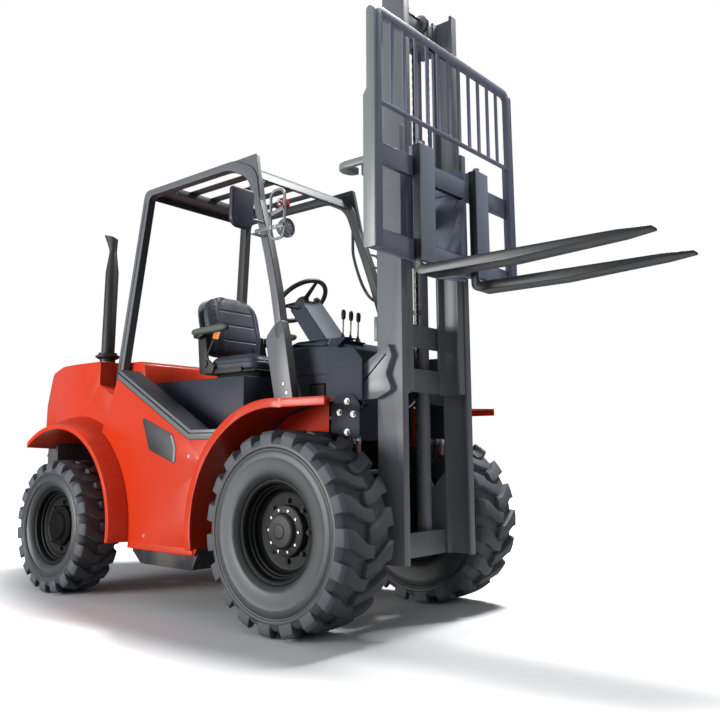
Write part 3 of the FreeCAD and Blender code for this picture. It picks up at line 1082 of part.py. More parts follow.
def chains():
    """Leaf chain runs. The rear run is in two layers, one on each mast, that slide past each other."""
    upper, lower, front = [], [], []
    half = "(chain_thick - 1) / 2"
    rear_x, front_x = "sheave_x - sheave_d / 2", "sheave_x + sheave_d / 2"
    for _, s in sides():
        y0, y1 = "%d * chain_y - chain_w / 2" % s, "%d * chain_y + chain_w / 2" % s
        hang = box(rear_x + " + 0.5", rear_x + " + 0.5 + " + half, y0, y1,
                   "inner_low + 140", "sheave_z")
        drop = box(front_x + " - 0.5 - " + half, front_x + " - 0.5", y0, y1, "chain_anchor_z + 30",
                   "sheave_z")
        over = revolve([("sheave_d / 2 - 0.5 - " + half, y0), ("sheave_d / 2 - 0.5", y0),
                        ("sheave_d / 2 - 0.5", y1), ("sheave_d / 2 - 0.5 - " + half, y1)])
        place(over, "sheave_x", "0", "sheave_z")
        arch = cut(over, [box("sheave_x - sheave_d", "sheave_x + sheave_d", y0 + " - 5", y1 + " + 5",
                              "sheave_z - sheave_d", "sheave_z")])
        upper.append(fuse([hang, drop, arch]))
        run = box(rear_x + " - 0.5 - " + half, rear_x + " - 0.5", y0, y1, "mast_low + tie_h - 20",
                  "sheave_z - mast_lift - sheave_d / 2 - 20")
        anchor = box(rear_x + " - 12", "mast_rear - tie_thick - 0.3", y0 + " - 4", y1 + " + 4",
                     "mast_low + tie_h - 60", "mast_low + tie_h - 15")
        lower.append(fuse([run, anchor]))
        rise = box(front_x + " + 0.5", front_x + " + 0.5 + " + half, y0, y1, "chain_anchor_z",
                   "chain_anchor_z + 400")
        lug = box(front_x + " + 0.5", "bar_rear + 1", y0, y1, "chain_anchor_z", "chain_anchor_z + 24")
        front.append(fuse([rise, lug]))
    keep("chains_upper", group(upper))
    keep("chains_lower", group(lower))
    return front


def carriage(anchors):
    """Fork carriage: two hook bars, side plates with rollers in the inner rails, chain lugs."""
    half = "carriage_half_w"
    bars = [box("bar_rear", "bar_front", "-" + half, half, z, z + " + bar_h")
            for z in ("lower_bar_z", "upper_bar_z")]
    plates = []
    out = "inner_out_y - inner_rail_w - mast_gap"
    for _, s in sides():
        y0, y1 = across(s, "%s - plate_thick" % out, out)
        plates.append(slab([("rail_mid - 45", "lower_bar_z + 20"), ("bar_rear + 1", "lower_bar_z - 20"),
                            ("bar_rear + 1", "upper_bar_top + 70"), ("rail_mid - 45", "upper_bar_top + 90")],
                           "XZ", y0, y1))
        r0, r1 = across(s, "%s - 2" % out, "inner_out_y - rail_web - 6")
        for z in ("lower_bar_z + roller_rise", "upper_bar_top + 26"):
            plates.append(rod_y("rail_mid", z, r0, r1,
                                "inner_front - inner_rear - 2 * rail_flange - 2 * roller_gap"))
        y0, y1 = across(s, "plate_y", "plate_y + plate_thick")
        plates.append(box("bar_rear + 1", "bar_front - 1", y0, y1, "lower_bar_z + 5", "upper_bar_z + 5"))
    keep("carriage", fuse(bars + plates + anchors))


def load_backrest():
    """Welded guard above the carriage: uprights, top bar, lower rod and flat bars."""
    x0, x1 = "bar_front + 0.3", "bar_front + 0.3 + rest_thick"
    out, bar = "carriage_half_w", "rest_bar"
    frame = slab([("-" + out, "lower_bar_z"), ("-" + out, "rest_top"), (out, "rest_top"),
                  (out, "lower_bar_z"), ("%s - %s" % (out, bar), "lower_bar_z"),
                  ("%s - %s" % (out, bar), "rest_top - " + bar),
                  ("%s - %s" % (bar, out), "rest_top - " + bar),
                  ("%s - %s" % (bar, out), "lower_bar_z")], "YZ", x0, x1,
                 [(1, "70"), (2, "70"), (5, "25"), (6, "25")])
    rod = box("bar_front + 8", "bar_front + 26", "-(%s) + 1" % out, out + " - 1", "rest_rod_z",
              "rest_rod_z + 20")
    slats = []
    for i in range(int(sheet.rest_slat_count)):
        y = "(%d - (rest_slat_count - 1) / 2) * 2 * (carriage_half_w - rest_bar) / (rest_slat_count + 1)" % i
        slats.append(box("bar_front + 10", "bar_front + 10 + rest_slat_thick", y + " - rest_slat_w / 2",
                         y + " + rest_slat_w / 2", "rest_rod_z + 5", "rest_top - %s + 2" % bar))
    keep("load_backrest", fuse([frame, rod] + slats))


def fork(side_name, s):
    """L shaped fork: shank, tapered blade and the hook over the upper bar."""
    y = "%d * fork_y" % s
    back = "bar_front + fork_gap"
    blade = slab([(back, "upper_bar_top + hook_h"), ("fork_face_x", "upper_bar_top + hook_h"),
                  ("fork_face_x", "fork_top"), ("fork_face_x + fork_length", "fork_top"),
                  ("fork_face_x + fork_length", "fork_top - fork_tip_thick"),
                  ("fork_face_x + fork_length - fork_taper", "fork_low"), (back, "fork_low")],
                 "XZ", y + " - fork_w / 2", y + " + fork_w / 2", [(6, "45"), (2, "22")])
    hook = box("bar_front - 22", back + " + 5", y + " - fork_w / 2 + 2", y + " + fork_w / 2 - 2",
               "upper_bar_top + 0.3", "upper_bar_top + hook_h - 4")
    trims = []
    for t in (-1, 1):
        edge = "(%s) + %d * fork_w / 2" % (y, t)
        trims.append(slab([("fork_face_x + fork_length - 130", edge), ("fork_face_x + fork_length + 5", edge),
                           ("fork_face_x + fork_length + 5", "(%s) - %d * 32" % (edge, t))],
                          "XY", "fork_low - 5", "fork_top + 5"))
    keep("fork_" + side_name, cut(fuse([blade, hook]), trims))


def tilt_cylinders():
    """Tilt barrels pinned inside the chassis cheeks, rods up to the pins of the mast's ears."""
    barrels, rods = [], []
    for _, s in sides():
        y = "%d * tilt_y" % s
        y0, y1 = y + " - eye_w / 2", y + " + eye_w / 2"
        eye = rod_y("0", "0", y0, y1, "eye_d")
        tube = rod_x(y, "0", "tilt_pin_d / 2 + 6", "tilt_barrel_l", "tilt_barrel_d")
        bore = rod_x(y, "0", "eye_d / 2 + 20", "tilt_barrel_l + 5", "tilt_rod_d + 2 * cylinder_gap")
        hole = rod_y("0", "0", "(%s) - 5" % y0, "(%s) + 5" % y1, "tilt_pin_d + 2 * shaft_gap")
        barrels.append(cut(fuse([eye, tube]), [bore, hole]))
        rod = rod_x(y, "0", "eye_d / 2 + 150", "tilt_span - eye_d / 2 + 9", "tilt_rod_d")
        ring = rod_y("tilt_span", "0", y0, y1, "eye_d")
        open_hole = rod_y("tilt_span", "0", "(%s) - 5" % y0, "(%s) + 5" % y1,
                          "tilt_pin_d + 2 * eye_drift")
        rods.append(cut(fuse([rod, ring]), [open_hole]))
    for label, pieces in (("tilt_barrels", barrels), ("tilt_rods", rods)):
        pair = group(pieces)
        turn(pair, (0, 1, 0), "-tilt_angle")
        keep(label, pair, "axle_x - tilt_anchor_x", "0", "tilt_anchor_z")


# ---------------------------------------------------------------------------
# The machine
# ---------------------------------------------------------------------------
chassis()
engine()
counterweight()
rear_body()
engine_cover()
floor_plate()
tanks()
cowl()
steering()
levers()
seat()
guard_roof()
lamps()
mirrors()
rear_lamps()
exhaust()
outer_ties()
lift_cylinders()
inner_ties()
carriage(chains())
load_backrest()
tilt_cylinders()
front_axle()
rear_axle()
for side_name, side in sides():
    side_panel(side_name, side)
    front_fender(side_name, side)
    guard_side(side_name, side)
    outer_rail(side_name, side)
    inner_rail(side_name, side)
    fork(side_name, side)
    knuckle(side_name, side)
    wheel("front", side_name, side, "front_tyre_d", "front_tyre_w", "front_rim_d",
          "front_disc_in", "front_hub_out", "axle_x", "front_y")
    wheel("rear", side_name, side, "rear_tyre_d", "rear_tyre_w", "rear_rim_d",
          "rear_disc_in", "rear_hub_out", "axle_x - wheelbase", "rear_y")

# ---------------------------------------------------------------------------
# Check and export
# ---------------------------------------------------------------------------
doc.recompute()
for obj in doc.Objects:
    for state in ("Invalid", "Error"):
        if state in obj.State:
            raise RuntimeError("%s (%s) did not build: %s" % (obj.Name, obj.Label, obj.State))
for part in SUBPARTS:
    if part.Shape.isNull() or not part.Shape.isValid() or not part.Shape.Solids:
        raise RuntimeError("%s has no sound solid" % part.Label)

os.makedirs("parts", exist_ok=True)
for part in SUBPARTS:
    part.Shape.exportStep("parts/%s.step" % part.Label)
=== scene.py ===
"""Looks of a rough terrain forklift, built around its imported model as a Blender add-on run once."""
import json
from functools import partial
from math import copysign, cos, exp, pi, radians, sin, tan

import bmesh
import bpy
from bpy.props import FloatProperty, FloatVectorProperty, IntProperty, PointerProperty
from mathutils import Matrix, Vector


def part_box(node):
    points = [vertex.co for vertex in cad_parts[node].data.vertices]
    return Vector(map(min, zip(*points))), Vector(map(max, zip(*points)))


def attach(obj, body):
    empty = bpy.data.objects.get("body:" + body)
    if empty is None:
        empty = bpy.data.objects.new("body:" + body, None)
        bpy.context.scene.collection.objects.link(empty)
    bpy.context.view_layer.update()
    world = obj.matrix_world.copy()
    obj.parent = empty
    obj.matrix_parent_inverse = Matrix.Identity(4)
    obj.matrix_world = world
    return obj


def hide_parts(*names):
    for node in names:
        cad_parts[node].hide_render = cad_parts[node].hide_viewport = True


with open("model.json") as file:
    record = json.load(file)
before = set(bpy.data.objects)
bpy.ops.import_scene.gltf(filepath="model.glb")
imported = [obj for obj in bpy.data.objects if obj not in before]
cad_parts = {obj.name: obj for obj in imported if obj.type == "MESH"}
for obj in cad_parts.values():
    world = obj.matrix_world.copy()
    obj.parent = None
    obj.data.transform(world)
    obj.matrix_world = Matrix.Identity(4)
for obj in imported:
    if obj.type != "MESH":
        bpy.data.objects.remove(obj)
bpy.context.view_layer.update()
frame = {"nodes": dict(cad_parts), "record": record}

bl_info = {
    "name": "Rough Terrain Forklift Looks",
    "version": (1, 0, 0),
    "blender": (4, 5, 0),
    "location": "View3D > Sidebar > Forklift",
    "description": "Dresses the forklift's packed model piece by piece",
    "category": "Object",
}

BODY_OF = {n: b for b, names in frame["record"]["behaviour"]["bodies"].items() for n in names}
SIDES = (("right", -1), ("left", 1))


def low(node):
    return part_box(node)[0]


def high(node):
    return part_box(node)[1]


def middle(node):
    lo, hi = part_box(node)
    return (lo + hi) / 2


def linear(r, g, b):
    """Scene-linear colour of a screen colour given as 0 to 255."""
    return tuple((c / 12.92 if c <= 0.04045 else ((c + 0.055) / 1.055) ** 2.4)
        for c in (r / 255, g / 255, b / 255))


FRONT_AXLE = middle("front_tyre_right").x


# ---------------------------------------------------------------------------
# Settings
# ---------------------------------------------------------------------------
def colour_prop(name, text, rgb):
    return FloatVectorProperty(name=name, description=text, subtype="COLOR", size=3, min=0, max=1,
        default=linear(*rgb))


class ForkliftPaint(bpy.types.PropertyGroup):
    body: colour_prop("Body", "Gloss paint of the hood, panels and fenders", (212, 54, 16))
    guard: colour_prop("Guard", "Satin paint of the overhead guard", (48, 50, 54))
    # the lighter grey of the guard's outer faces is a painted highlight for the light they catch
    guard_side: colour_prop("Guard sides", "Paint of the guard's outer faces", (104, 107, 110))
    mast: colour_prop("Mast", "Satin paint of the mast rails", (116, 119, 123))
    carriage: colour_prop("Carriage", "Satin paint of the carriage and backrest", (122, 128, 146))
    cover: colour_prop("Cover", "Blue grey paint of the deck and engine cover", (38, 44, 56))
    chassis: colour_prop("Chassis", "Black paint of the chassis and axles", (34, 36, 39))
    fork: colour_prop("Forks", "Paint of the forks", (38, 41, 46))
    bevel: FloatProperty(name="Edge radius", description="Rounding of the steel edges",
        default=0.003, unit="LENGTH")


class ForkliftTyres(bpy.types.PropertyGroup):
    lug_count: IntProperty(name="Lugs", description="Bars on each side of a tyre", default=19, min=3)
    lug_height: FloatProperty(name="Lug height", description="From the carcass to the bars' tops",
        default=0.026, unit="LENGTH")


class ForkliftStage(bpy.types.PropertyGroup):
    key: FloatProperty(name="Key light", description="Power of the large side light", default=600.0)
    fill: FloatProperty(name="Sky fill", description="Strength of the soft surrounding light",
        default=0.26)
    floor: FloatProperty(name="Floor lift", description="White added to the floor as seen",
        default=0.0)


# ---------------------------------------------------------------------------
# Shader groups and materials
# ---------------------------------------------------------------------------
FLOAT = "NodeSocketFloat"
MATHS = "ShaderNodeMath"


def group_tree(name, inputs, outputs):
    """Empty shader node group with named sockets; returns its tree and its two end nodes."""
    tree = bpy.data.node_groups.new(name, "ShaderNodeTree")
    for label, kind, value in inputs:
        socket = tree.interface.new_socket(label, in_out="INPUT", socket_type=kind)
        if value is not None:
            socket.default_value = value
    for label, kind in outputs:
        tree.interface.new_socket(label, in_out="OUTPUT", socket_type=kind)
    return tree, tree.nodes.new("NodeGroupInput"), tree.nodes.new("NodeGroupOutput")


def node(tree, kind, **settings):
    """New node with its settings; a key in_NAME or in_NUMBER sets that input or links it."""
    made = tree.nodes.new(kind)
    for key, value in settings.items():
        if not key.startswith("in_"):
            setattr(made, key, value)
            continue
        name = key[3:]
        socket = made.inputs[int(name) if name.isdigit() else name.replace("_", " ")]
        if isinstance(value, bpy.types.Node):
            value = value.outputs[0]
        if isinstance(value, bpy.types.NodeSocket):
            tree.links.new(value, socket)
        else:
            socket.default_value = value
    return made


def dust_group():
    """Fine dust and cloudy wear: a mask over the surface and a height for bump."""
    tree, start, end = group_tree("surface dust",
        [("Cloud scale", FLOAT, 3.0), ("Grain scale", FLOAT, 220.0),
         ("Amount", FLOAT, 0.3), ("Base height", FLOAT, 0.4)],
        [("Mask", FLOAT), ("Height", FLOAT), ("Variation", FLOAT)])
    add, given = partial(node, tree), start.outputs
    place = add("ShaderNodeTexCoord").outputs["Object"]
    cloud = add("ShaderNodeTexNoise", in_Detail=6.0, in_Roughness=0.6, in_Vector=place,
        in_Scale=given["Cloud scale"])
    grain = add("ShaderNodeTexNoise", in_Detail=3.0, in_Roughness=0.6, in_Vector=place,
        in_Scale=given["Grain scale"])
    patch = add("ShaderNodeMapRange", in_0=cloud, in_1=0.42, in_2=0.72)
    split = add("ShaderNodeSeparateXYZ", in_0=add("ShaderNodeNewGeometry").outputs["Position"])
    # dust lies thicker towards the ground
    low_down = add("ShaderNodeMapRange", in_0=split.outputs["Z"], in_1=1.1, in_2=0.0)
    lifted = add(MATHS, operation="ADD", in_0=low_down, in_1=given["Base height"])
    times = add(MATHS, operation="MULTIPLY", in_0=patch, in_1=lifted)
    amount = add(MATHS, operation="MULTIPLY", use_clamp=True, in_0=times, in_1=given["Amount"])
    for name, source in (("Mask", amount), ("Height", grain), ("Variation", cloud)):
        tree.links.new(source.outputs[0], end.inputs[name])
    return tree


def edge_group():
    """Mask of worn outer edges, broken up by noise."""
    tree, start, end = group_tree("edge wear", [("Radius", FLOAT, 0.006), ("Amount", FLOAT, 0.5),
         ("Break up", FLOAT, 40.0)], [("Mask", FLOAT)])
    add, given = partial(node, tree), start.outputs
    bevel = add("ShaderNodeBevel", samples=6, in_Radius=given["Radius"])
    dot = add("ShaderNodeVectorMath", operation="DOT_PRODUCT", in_0=bevel,
        in_1=add("ShaderNodeNewGeometry").outputs["Normal"])
    edge = add("ShaderNodeMapRange", in_0=dot.outputs["Value"], in_1=0.995, in_2=0.86)
    noise = add("ShaderNodeTexNoise", in_Detail=4.0, in_Scale=given["Break up"],
        in_Vector=add("ShaderNodeTexCoord").outputs["Object"])
    worn = add("ShaderNodeMapRange", in_0=noise, in_1=0.45, in_2=0.65)
    first = add(MATHS, operation="MULTIPLY", in_0=edge, in_1=worn)
    last = add(MATHS, operation="MULTIPLY", use_clamp=True, in_0=first, in_1=given["Amount"])
    tree.links.new(last.outputs[0], end.inputs["Mask"])
    return tree


GROUPS = {}
FINISHES = {}


def shared(name, maker):
    if name not in GROUPS:
        GROUPS[name] = maker()
    return GROUPS[name]


def placed_group(tree, name, maker, **inputs):
    holder = tree.nodes.new("ShaderNodeGroup")
    holder.node_tree = shared(name, maker)
    for key, value in inputs.items():
        holder.inputs[key.replace("_", " ")].default_value = value
    return holder


def mixed(tree, factor, first, second):
    """Colour mix whose ends are sockets or plain colours."""
    mix = node(tree, "ShaderNodeMix", data_type="RGBA")
    tree.links.new(factor, mix.inputs["Factor"])
    for socket, end in ((mix.inputs[6], first), (mix.inputs[7], second)):
        if isinstance(end, bpy.types.NodeSocket):
            tree.links.new(end, socket)
        else:
            socket.default_value = (*end, 1.0)
    return mix.outputs[2]


def new_material(name, **inputs):
    """New material whose shader's plain inputs are set; returns its tree and its shader."""
    material = bpy.data.materials.new(name)
    material.use_nodes = True
    shader = material.node_tree.nodes["Principled BSDF"]
    for key, value in inputs.items():
        shader.inputs[key.replace("_", " ")].default_value = value
    FINISHES[name] = material
    return material.node_tree, shader


def finish(name, colour, rough=0.4, metal=0.0, coat=0.0, dust=0.25, dust_rgb=(150, 140, 125),
        wear=0.0, wear_rgb=(120, 122, 126), grain=300.0, bump=0.05, vary=0.06, cloud=3.0,
        specular=0.5, sheen=0.0):
    """Procedural paint, plastic, metal or rubber with dust, worn edges and a fine grain."""
    tree, shader = new_material(name, Metallic=metal, Coat_Weight=coat, Coat_Roughness=0.08,
        Specular_IOR_Level=specular, Sheen_Weight=sheen)
    film = placed_group(tree, "dust", dust_group, Cloud_scale=cloud, Grain_scale=grain, Amount=dust)
    light = tuple(min(1.0, c * (1 + vary) + 0.004) for c in colour)
    dark = tuple(c * (1 - vary) for c in colour)
    base = mixed(tree, film.outputs["Variation"], dark, light)
    if wear:
        edges = placed_group(tree, "edge", edge_group, Amount=wear)
        base = mixed(tree, edges.outputs["Mask"], base, linear(*wear_rgb))
    base = mixed(tree, film.outputs["Mask"], base, linear(*dust_rgb))
    tree.links.new(base, shader.inputs["Base Color"])
    roughness = node(tree, "ShaderNodeMapRange", in_0=film.outputs["Mask"], in_3=rough,
        in_4=min(1.0, rough + 0.3))
    tree.links.new(roughness.outputs[0], shader.inputs["Roughness"])
    if bump:
        relief = node(tree, "ShaderNodeBump", in_Strength=bump, in_Distance=0.002,
            in_Height=film.outputs["Height"])
        tree.links.new(relief.outputs[0], shader.inputs["Normal"])


def glass(name, colour, rough, through):
    """Clear or tinted lamp glass."""
    tree, shader = new_material(name, Roughness=rough, Transmission_Weight=through, IOR=1.45)
    film = placed_group(tree, "dust", dust_group, Cloud_scale=20.0, Grain_scale=400.0, Amount=0.1)
    base = mixed(tree, film.outputs["Mask"], colour, tuple(c * 0.8 for c in colour))
    tree.links.new(base, shader.inputs["Base Color"])


# finish by what wears it: the material's name, its colour or the setting that holds it, and
# where it departs from a plain finish
LOOKS = {
    "body": ("body gloss paint", "body",
        dict(rough=0.34, coat=0.15, dust=0.04, bump=0.015, grain=160.0, vary=0.03, wear=0.12,
            wear_rgb=(150, 40, 30), specular=0.2)),
    "guard": ("guard satin paint", "guard", dict(rough=0.45, dust=0.06, wear=0.25, bump=0.03)),
    "mast": ("mast satin paint", "mast", dict(rough=0.36, dust=0.12, wear=0.3, bump=0.03)),
    "carriage": ("carriage satin paint", "carriage",
        dict(rough=0.36, dust=0.12, wear=0.3, bump=0.03)),
    "cover": ("deck satin paint", "cover",
        dict(rough=0.5, dust=0.08, wear=0.2, bump=0.03, specular=0.25)),
    "chassis": ("chassis black paint", "chassis", dict(rough=0.45, dust=0.35, wear=0.3)),
    "fork": ("fork satin paint", "fork", dict(rough=0.34, dust=0.1, wear=0.5)),
    "rubber": ("tread rubber", linear(80, 84, 88),
        dict(rough=0.62, dust=0.15, vary=0.1, grain=420.0, bump=0.25,
            dust_rgb=(104, 104, 102), cloud=7.0)),
    "sidewall": ("sidewall rubber", linear(60, 61, 63),
        dict(rough=0.42, dust=0.12, grain=420.0, bump=0.12, dust_rgb=(112, 112, 110), cloud=5.0)),
    "rim": ("rim black paint", linear(9, 10, 12),
        dict(rough=0.5, dust=0.02, wear=0.05, specular=0.2)),
    "hub": ("hub cast grey", linear(30, 31, 33),
        dict(rough=0.55, dust=0.12, bump=0.5, grain=120.0)),
    # painted shade: the rear hub is a near-black copy of the grey hub, for the shade deep inside the
    # rear wheels
    "rear_hub": ("rear hub black", linear(5, 5, 6),
        dict(rough=0.7, dust=0.02, bump=0.3, specular=0.1)),
    "sleeve": ("pink hose sleeve", linear(176, 120, 120), dict(rough=0.5, dust=0.1)),
    "cast": ("cast iron paint", linear(48, 50, 52),
        dict(rough=0.55, dust=0.35, bump=0.4, grain=140.0)),
    "plastic": ("black grained plastic", linear(27, 28, 31),
        dict(rough=0.55, dust=0.12, bump=0.35, grain=900.0)),
    "dash": ("dash grey plastic", linear(52, 59, 70),
        dict(rough=0.55, dust=0.06, bump=0.2, grain=900.0, specular=0.2)),
    "vinyl": ("seat vinyl", linear(48, 53, 66),
        dict(rough=0.5, dust=0.1, bump=0.3, grain=700.0, vary=0.08)),
    "chrome": ("chromed rod", linear(205, 207, 210),
        dict(rough=0.12, metal=1.0, dust=0.05, bump=0.0, vary=0.02)),
    "steel": ("zinc plated steel", linear(178, 178, 174), dict(rough=0.42, metal=1.0, dust=0.15)),
    "chain": ("oiled chain steel", linear(92, 90, 86), dict(rough=0.38, metal=0.9, dust=0.3)),
    "amber": ("amber lens", linear(225, 120, 20), dict(rough=0.12, dust=0.03, bump=0.0)),
    "red_lens": ("red lens", linear(170, 20, 24), dict(rough=0.12, dust=0.03, bump=0.0)),
    "exhaust": ("black exhaust paint", linear(26, 26, 28), dict(rough=0.5, dust=0.15, bump=0.2)),
    "engine": ("engine grey", linear(70, 72, 74), dict(rough=0.5, dust=0.4)),
    # painted highlight: a lighter grey for the outer faces of the guard and its sill bar
    "guard_side": ("guard side satin paint", "guard_side", dict(dust=0.1, wear=0.15, bump=0.03)),
    "bracket": ("light grey bracket paint", linear(132, 138, 136),
        dict(rough=0.35, dust=0.1, wear=0.2, bump=0.03)),
    "lamp_shell": ("lamp shell grey", linear(104, 104, 118), dict(rough=0.35, dust=0.1)),
    "mirror": ("mirror shell plastic", linear(40, 42, 58),
        dict(rough=0.45, dust=0.1, bump=0.25, grain=900.0)),
    "mirror_glass": ("mirror glass", linear(215, 220, 224),
        dict(rough=0.03, metal=1.0, dust=0.03, bump=0.0, vary=0.01)),
    "seat_shell": ("seat back shell", linear(84, 90, 100),
        dict(rough=0.45, dust=0.1, bump=0.25, grain=900.0)),
    "armrest": ("armrest foam", linear(84, 94, 88),
        dict(rough=0.6, dust=0.08, bump=0.3, grain=700.0, vary=0.08)),
    "buckle": ("orange buckle", linear(228, 132, 44), dict(rough=0.35, dust=0.05)),
    "webbing": ("belt webbing", linear(30, 31, 34),
        dict(rough=0.8, dust=0.1, bump=0.5, grain=1400.0, sheen=0.3)),
    "bellows": ("rubber bellows", linear(24, 25, 27),
        dict(rough=0.7, dust=0.2, bump=0.2, grain=500.0)),
    "grip": ("soft black grip", linear(20, 21, 23),
        dict(rough=0.5, dust=0.06, bump=0.25, grain=900.0)),
    "screen": ("instrument screen", linear(16, 20, 26),
        dict(rough=0.08, coat=0.8, dust=0.03, bump=0.0)),
    "badge": ("badge plate", linear(30, 32, 35), dict(rough=0.5, dust=0.05, bump=0.0)),
    "badge_rim": ("badge rim", linear(150, 154, 158), dict(rough=0.3, dust=0.05, bump=0.0)),
    # painted shade: near black put on thin plates and strips where gaps, grooves, openings and recesses
    # fall into shade
    "shadow": ("open gap", linear(10, 11, 13), dict(rough=0.8, dust=0.05, bump=0.0)),
    "lens": ("clear lens", (0.93, 0.95, 0.97), dict(rough=0.04, through=0.85)),
    "signal": ("pink turn lens", linear(205, 66, 78), dict(rough=0.12, through=0.35)),
}


def painted(look):
    """Material of a finish, made when it is first asked for."""
    name, colour, values = LOOKS[look]
    if name not in FINISHES:
        if isinstance(colour, str):
            colour = tuple(getattr(bpy.context.scene.forklift_paint, colour))
        maker = glass if "through" in values else finish
        maker(name, colour, **values)
    return FINISHES[name]


# ---------------------------------------------------------------------------
# Mesh tools
# ---------------------------------------------------------------------------
def linked(name, data):
    """New object in the scene."""
    made = bpy.data.objects.new(name, data)
    bpy.context.scene.collection.objects.link(made)
    return made


def plain(holder):
    """Plain mesh of an object after its modifiers; the object goes."""
    mesh = bpy.data.meshes.new_from_object(
        holder.evaluated_get(bpy.context.evaluated_depsgraph_get()))
    bpy.data.objects.remove(holder)
    return mesh


def new_piece(name, mesh, look, body, smooth=35.0, replaces=()):
    """Object for a finished mesh: smoothed, painted, riding on its body."""
    mesh.name = name
    mesh.polygons.foreach_set("use_smooth", [True] * len(mesh.polygons))
    mesh.set_sharp_from_angle(angle=radians(smooth))
    piece = linked(name, mesh)
    mesh.materials.clear()
    mesh.materials.append(painted(look))
    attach(piece, body)
    if replaces:
        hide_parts(*replaces)
    return piece


def mesh_of(bm, name="mesh"):
    bm.normal_update()
    mesh = bpy.data.meshes.new(name)
    bm.to_mesh(mesh)
    bm.free()
    return mesh


def merged(node_name):
    """Copy of a node's mesh with its loose triangles joined and its flat faces made whole."""
    bm = bmesh.new()
    bm.from_mesh(frame["nodes"][node_name].data)
    bmesh.ops.remove_doubles(bm, verts=bm.verts, dist=2e-5)
    bmesh.ops.dissolve_limit(bm, angle_limit=radians(0.6), verts=bm.verts, edges=bm.edges,
        delimit={"NORMAL"})
    return bm


def applied(mesh, *modifiers):
    """Plain mesh of a mesh after modifiers, each given as (kind, settings)."""
    holder = linked("working", mesh)
    for kind, settings in modifiers:
        modifier = holder.modifiers.new(kind, kind)
        for key, value in settings.items():
            setattr(modifier, key, value)
    return plain(holder)


def bevelled(mesh, width=0.003, segments=2, angle=28.0, **settings):
    """Mesh with the edges rounded whose faces turn by more than an angle."""
    return applied(mesh, ("BEVEL", dict(width=width, segments=segments, limit_method="ANGLE",
        angle_limit=radians(angle), **settings)))


def rounded(node_name, look, width=None, angle=28.0, segments=2):
    """A node's shape with rounded steel edges, standing for the node."""
    mesh = bevelled(mesh_of(merged(node_name)), width or bpy.context.scene.forklift_paint.bevel,
        segments, angle, use_clamp_overlap=False, miter_outer="MITER_ARC")
    return new_piece(node_name + "_shell", mesh, look, BODY_OF[node_name], replaces=(node_name,))


def smooth_line(points, steps=5, closed=False):
    """Points along a smooth curve through the given ones."""
    count = len(points)
    vectors = [Vector(p) for p in points]
    line = []
    for i in range(count if closed else count - 1):
        a = vectors[(i - 1) % count] if closed or i > 0 else vectors[0]
        b, c = vectors[i], vectors[(i + 1) % count]
        d = vectors[(i + 2) % count] if closed or i < count - 2 else vectors[-1]
        for k in range(steps):
            t = k / steps
            line.append(0.5 * (2 * b + (c - a) * t + (2 * a - 5 * b + 4 * c - d) * t * t
                + (3 * b - a - 3 * c + d) * t ** 3))
    if not closed:
        line.append(vectors[-1])
    return line


def turned(bm, profile, centre, count=96, closed=False):
    """Adds a surface turned about the axis along Y from (radius, y) points.

    A point with no radius becomes one pole."""
    rings = []
    for radius, y in profile:
        if radius < 1e-6:
            rings.append([bm.verts.new((centre.x, y, centre.z))])
            continue
        rings.append([bm.verts.new((centre.x + radius * cos(2 * pi * i / count), y,
            centre.z + radius * sin(2 * pi * i / count))) for i in range(count)])
    pairs = list(zip(rings, rings[1:]))
    if closed:
        pairs.append((rings[-1], rings[0]))
    for one, two in pairs:
        for i in range(count):
            j = (i + 1) % count
            corners = [one[i % len(one)], one[j % len(one)], two[j % len(two)], two[i % len(two)]]
            corners = [c for k, c in enumerate(corners) if c not in corners[:k]]
            if len(corners) > 2:
                bm.faces.new(corners)


def outward(bm):
    """Joins doubles and turns every face of a closed form outwards."""
    bmesh.ops.remove_doubles(bm, verts=bm.verts, dist=1e-6)
    bmesh.ops.recalc_face_normals(bm, faces=bm.faces)
    return bm


def set_in(pair, axis, depth):
    """Place from its depth along an axis and its other two coordinates in x, y, z order."""
    place = list(pair)
    place.insert("xyz".index(axis), depth)
    return place


def bridged(bm, one, two):
    """Adds the faces between two rings of as many points."""
    for i in range(len(one)):
        j = (i + 1) % len(one)
        bm.faces.new((one[i], one[j], two[j], two[i]))


def prism(bm, outline, axis, lo, hi):
    """Adds a plate: a flat outline of pairs, drawn out along an axis between two places."""
    ends = [[bm.verts.new(set_in(pair, axis, depth)) for pair in outline] for depth in (lo, hi)]
    for end in ends:
        bm.faces.new(end)
    bridged(bm, *ends)


def softened(bm, width=0.003, segments=2, angle=30.0):
    """Mesh of a closed form with its sharp edges rounded."""
    return bevelled(mesh_of(outward(bm)), width, segments, angle)


def joined(name, meshes, look, body, smooth=35.0, replaces=()):
    """One piece from several meshes of the same finish."""
    bm = bmesh.new()
    for mesh in meshes:
        bm.from_mesh(mesh)
    return new_piece(name, mesh_of(bm), look, body, smooth, replaces)


def at(x, y, z):
    """Place given forward of the front axle, to the left and up from the floor."""
    return Vector((FRONT_AXLE + x, y, z))


def filleted(points, radius=0.0, special=None, steps=6):
    """Flat outline with its corners rounded, some of them by a radius of their own."""
    special = special or {}
    line = []
    count = len(points)
    for i, corner in enumerate(points):
        corner = Vector(corner)
        back, ahead = Vector(points[i - 1]) - corner, Vector(points[(i + 1) % count]) - corner
        opening = back.angle(ahead)
        wanted = special.get(i, radius)
        if wanted <= 0 or opening > pi - 0.02:
            line.append(tuple(corner))
            continue
        reach = min(wanted / tan(opening / 2), 0.49 * back.length, 0.49 * ahead.length)
        wanted = reach * tan(opening / 2)
        back.normalize()
        ahead.normalize()
        centre = corner + (back + ahead).normalized() * (wanted / sin(opening / 2))
        first, last = corner + back * reach - centre, corner + ahead * reach - centre
        sweep = first.angle(last)
        for k in range(steps + 1):
            t = k / steps
            line.append(tuple(centre + (first * sin((1 - t) * sweep)
                + last * sin(t * sweep)) / sin(sweep)))
    return line


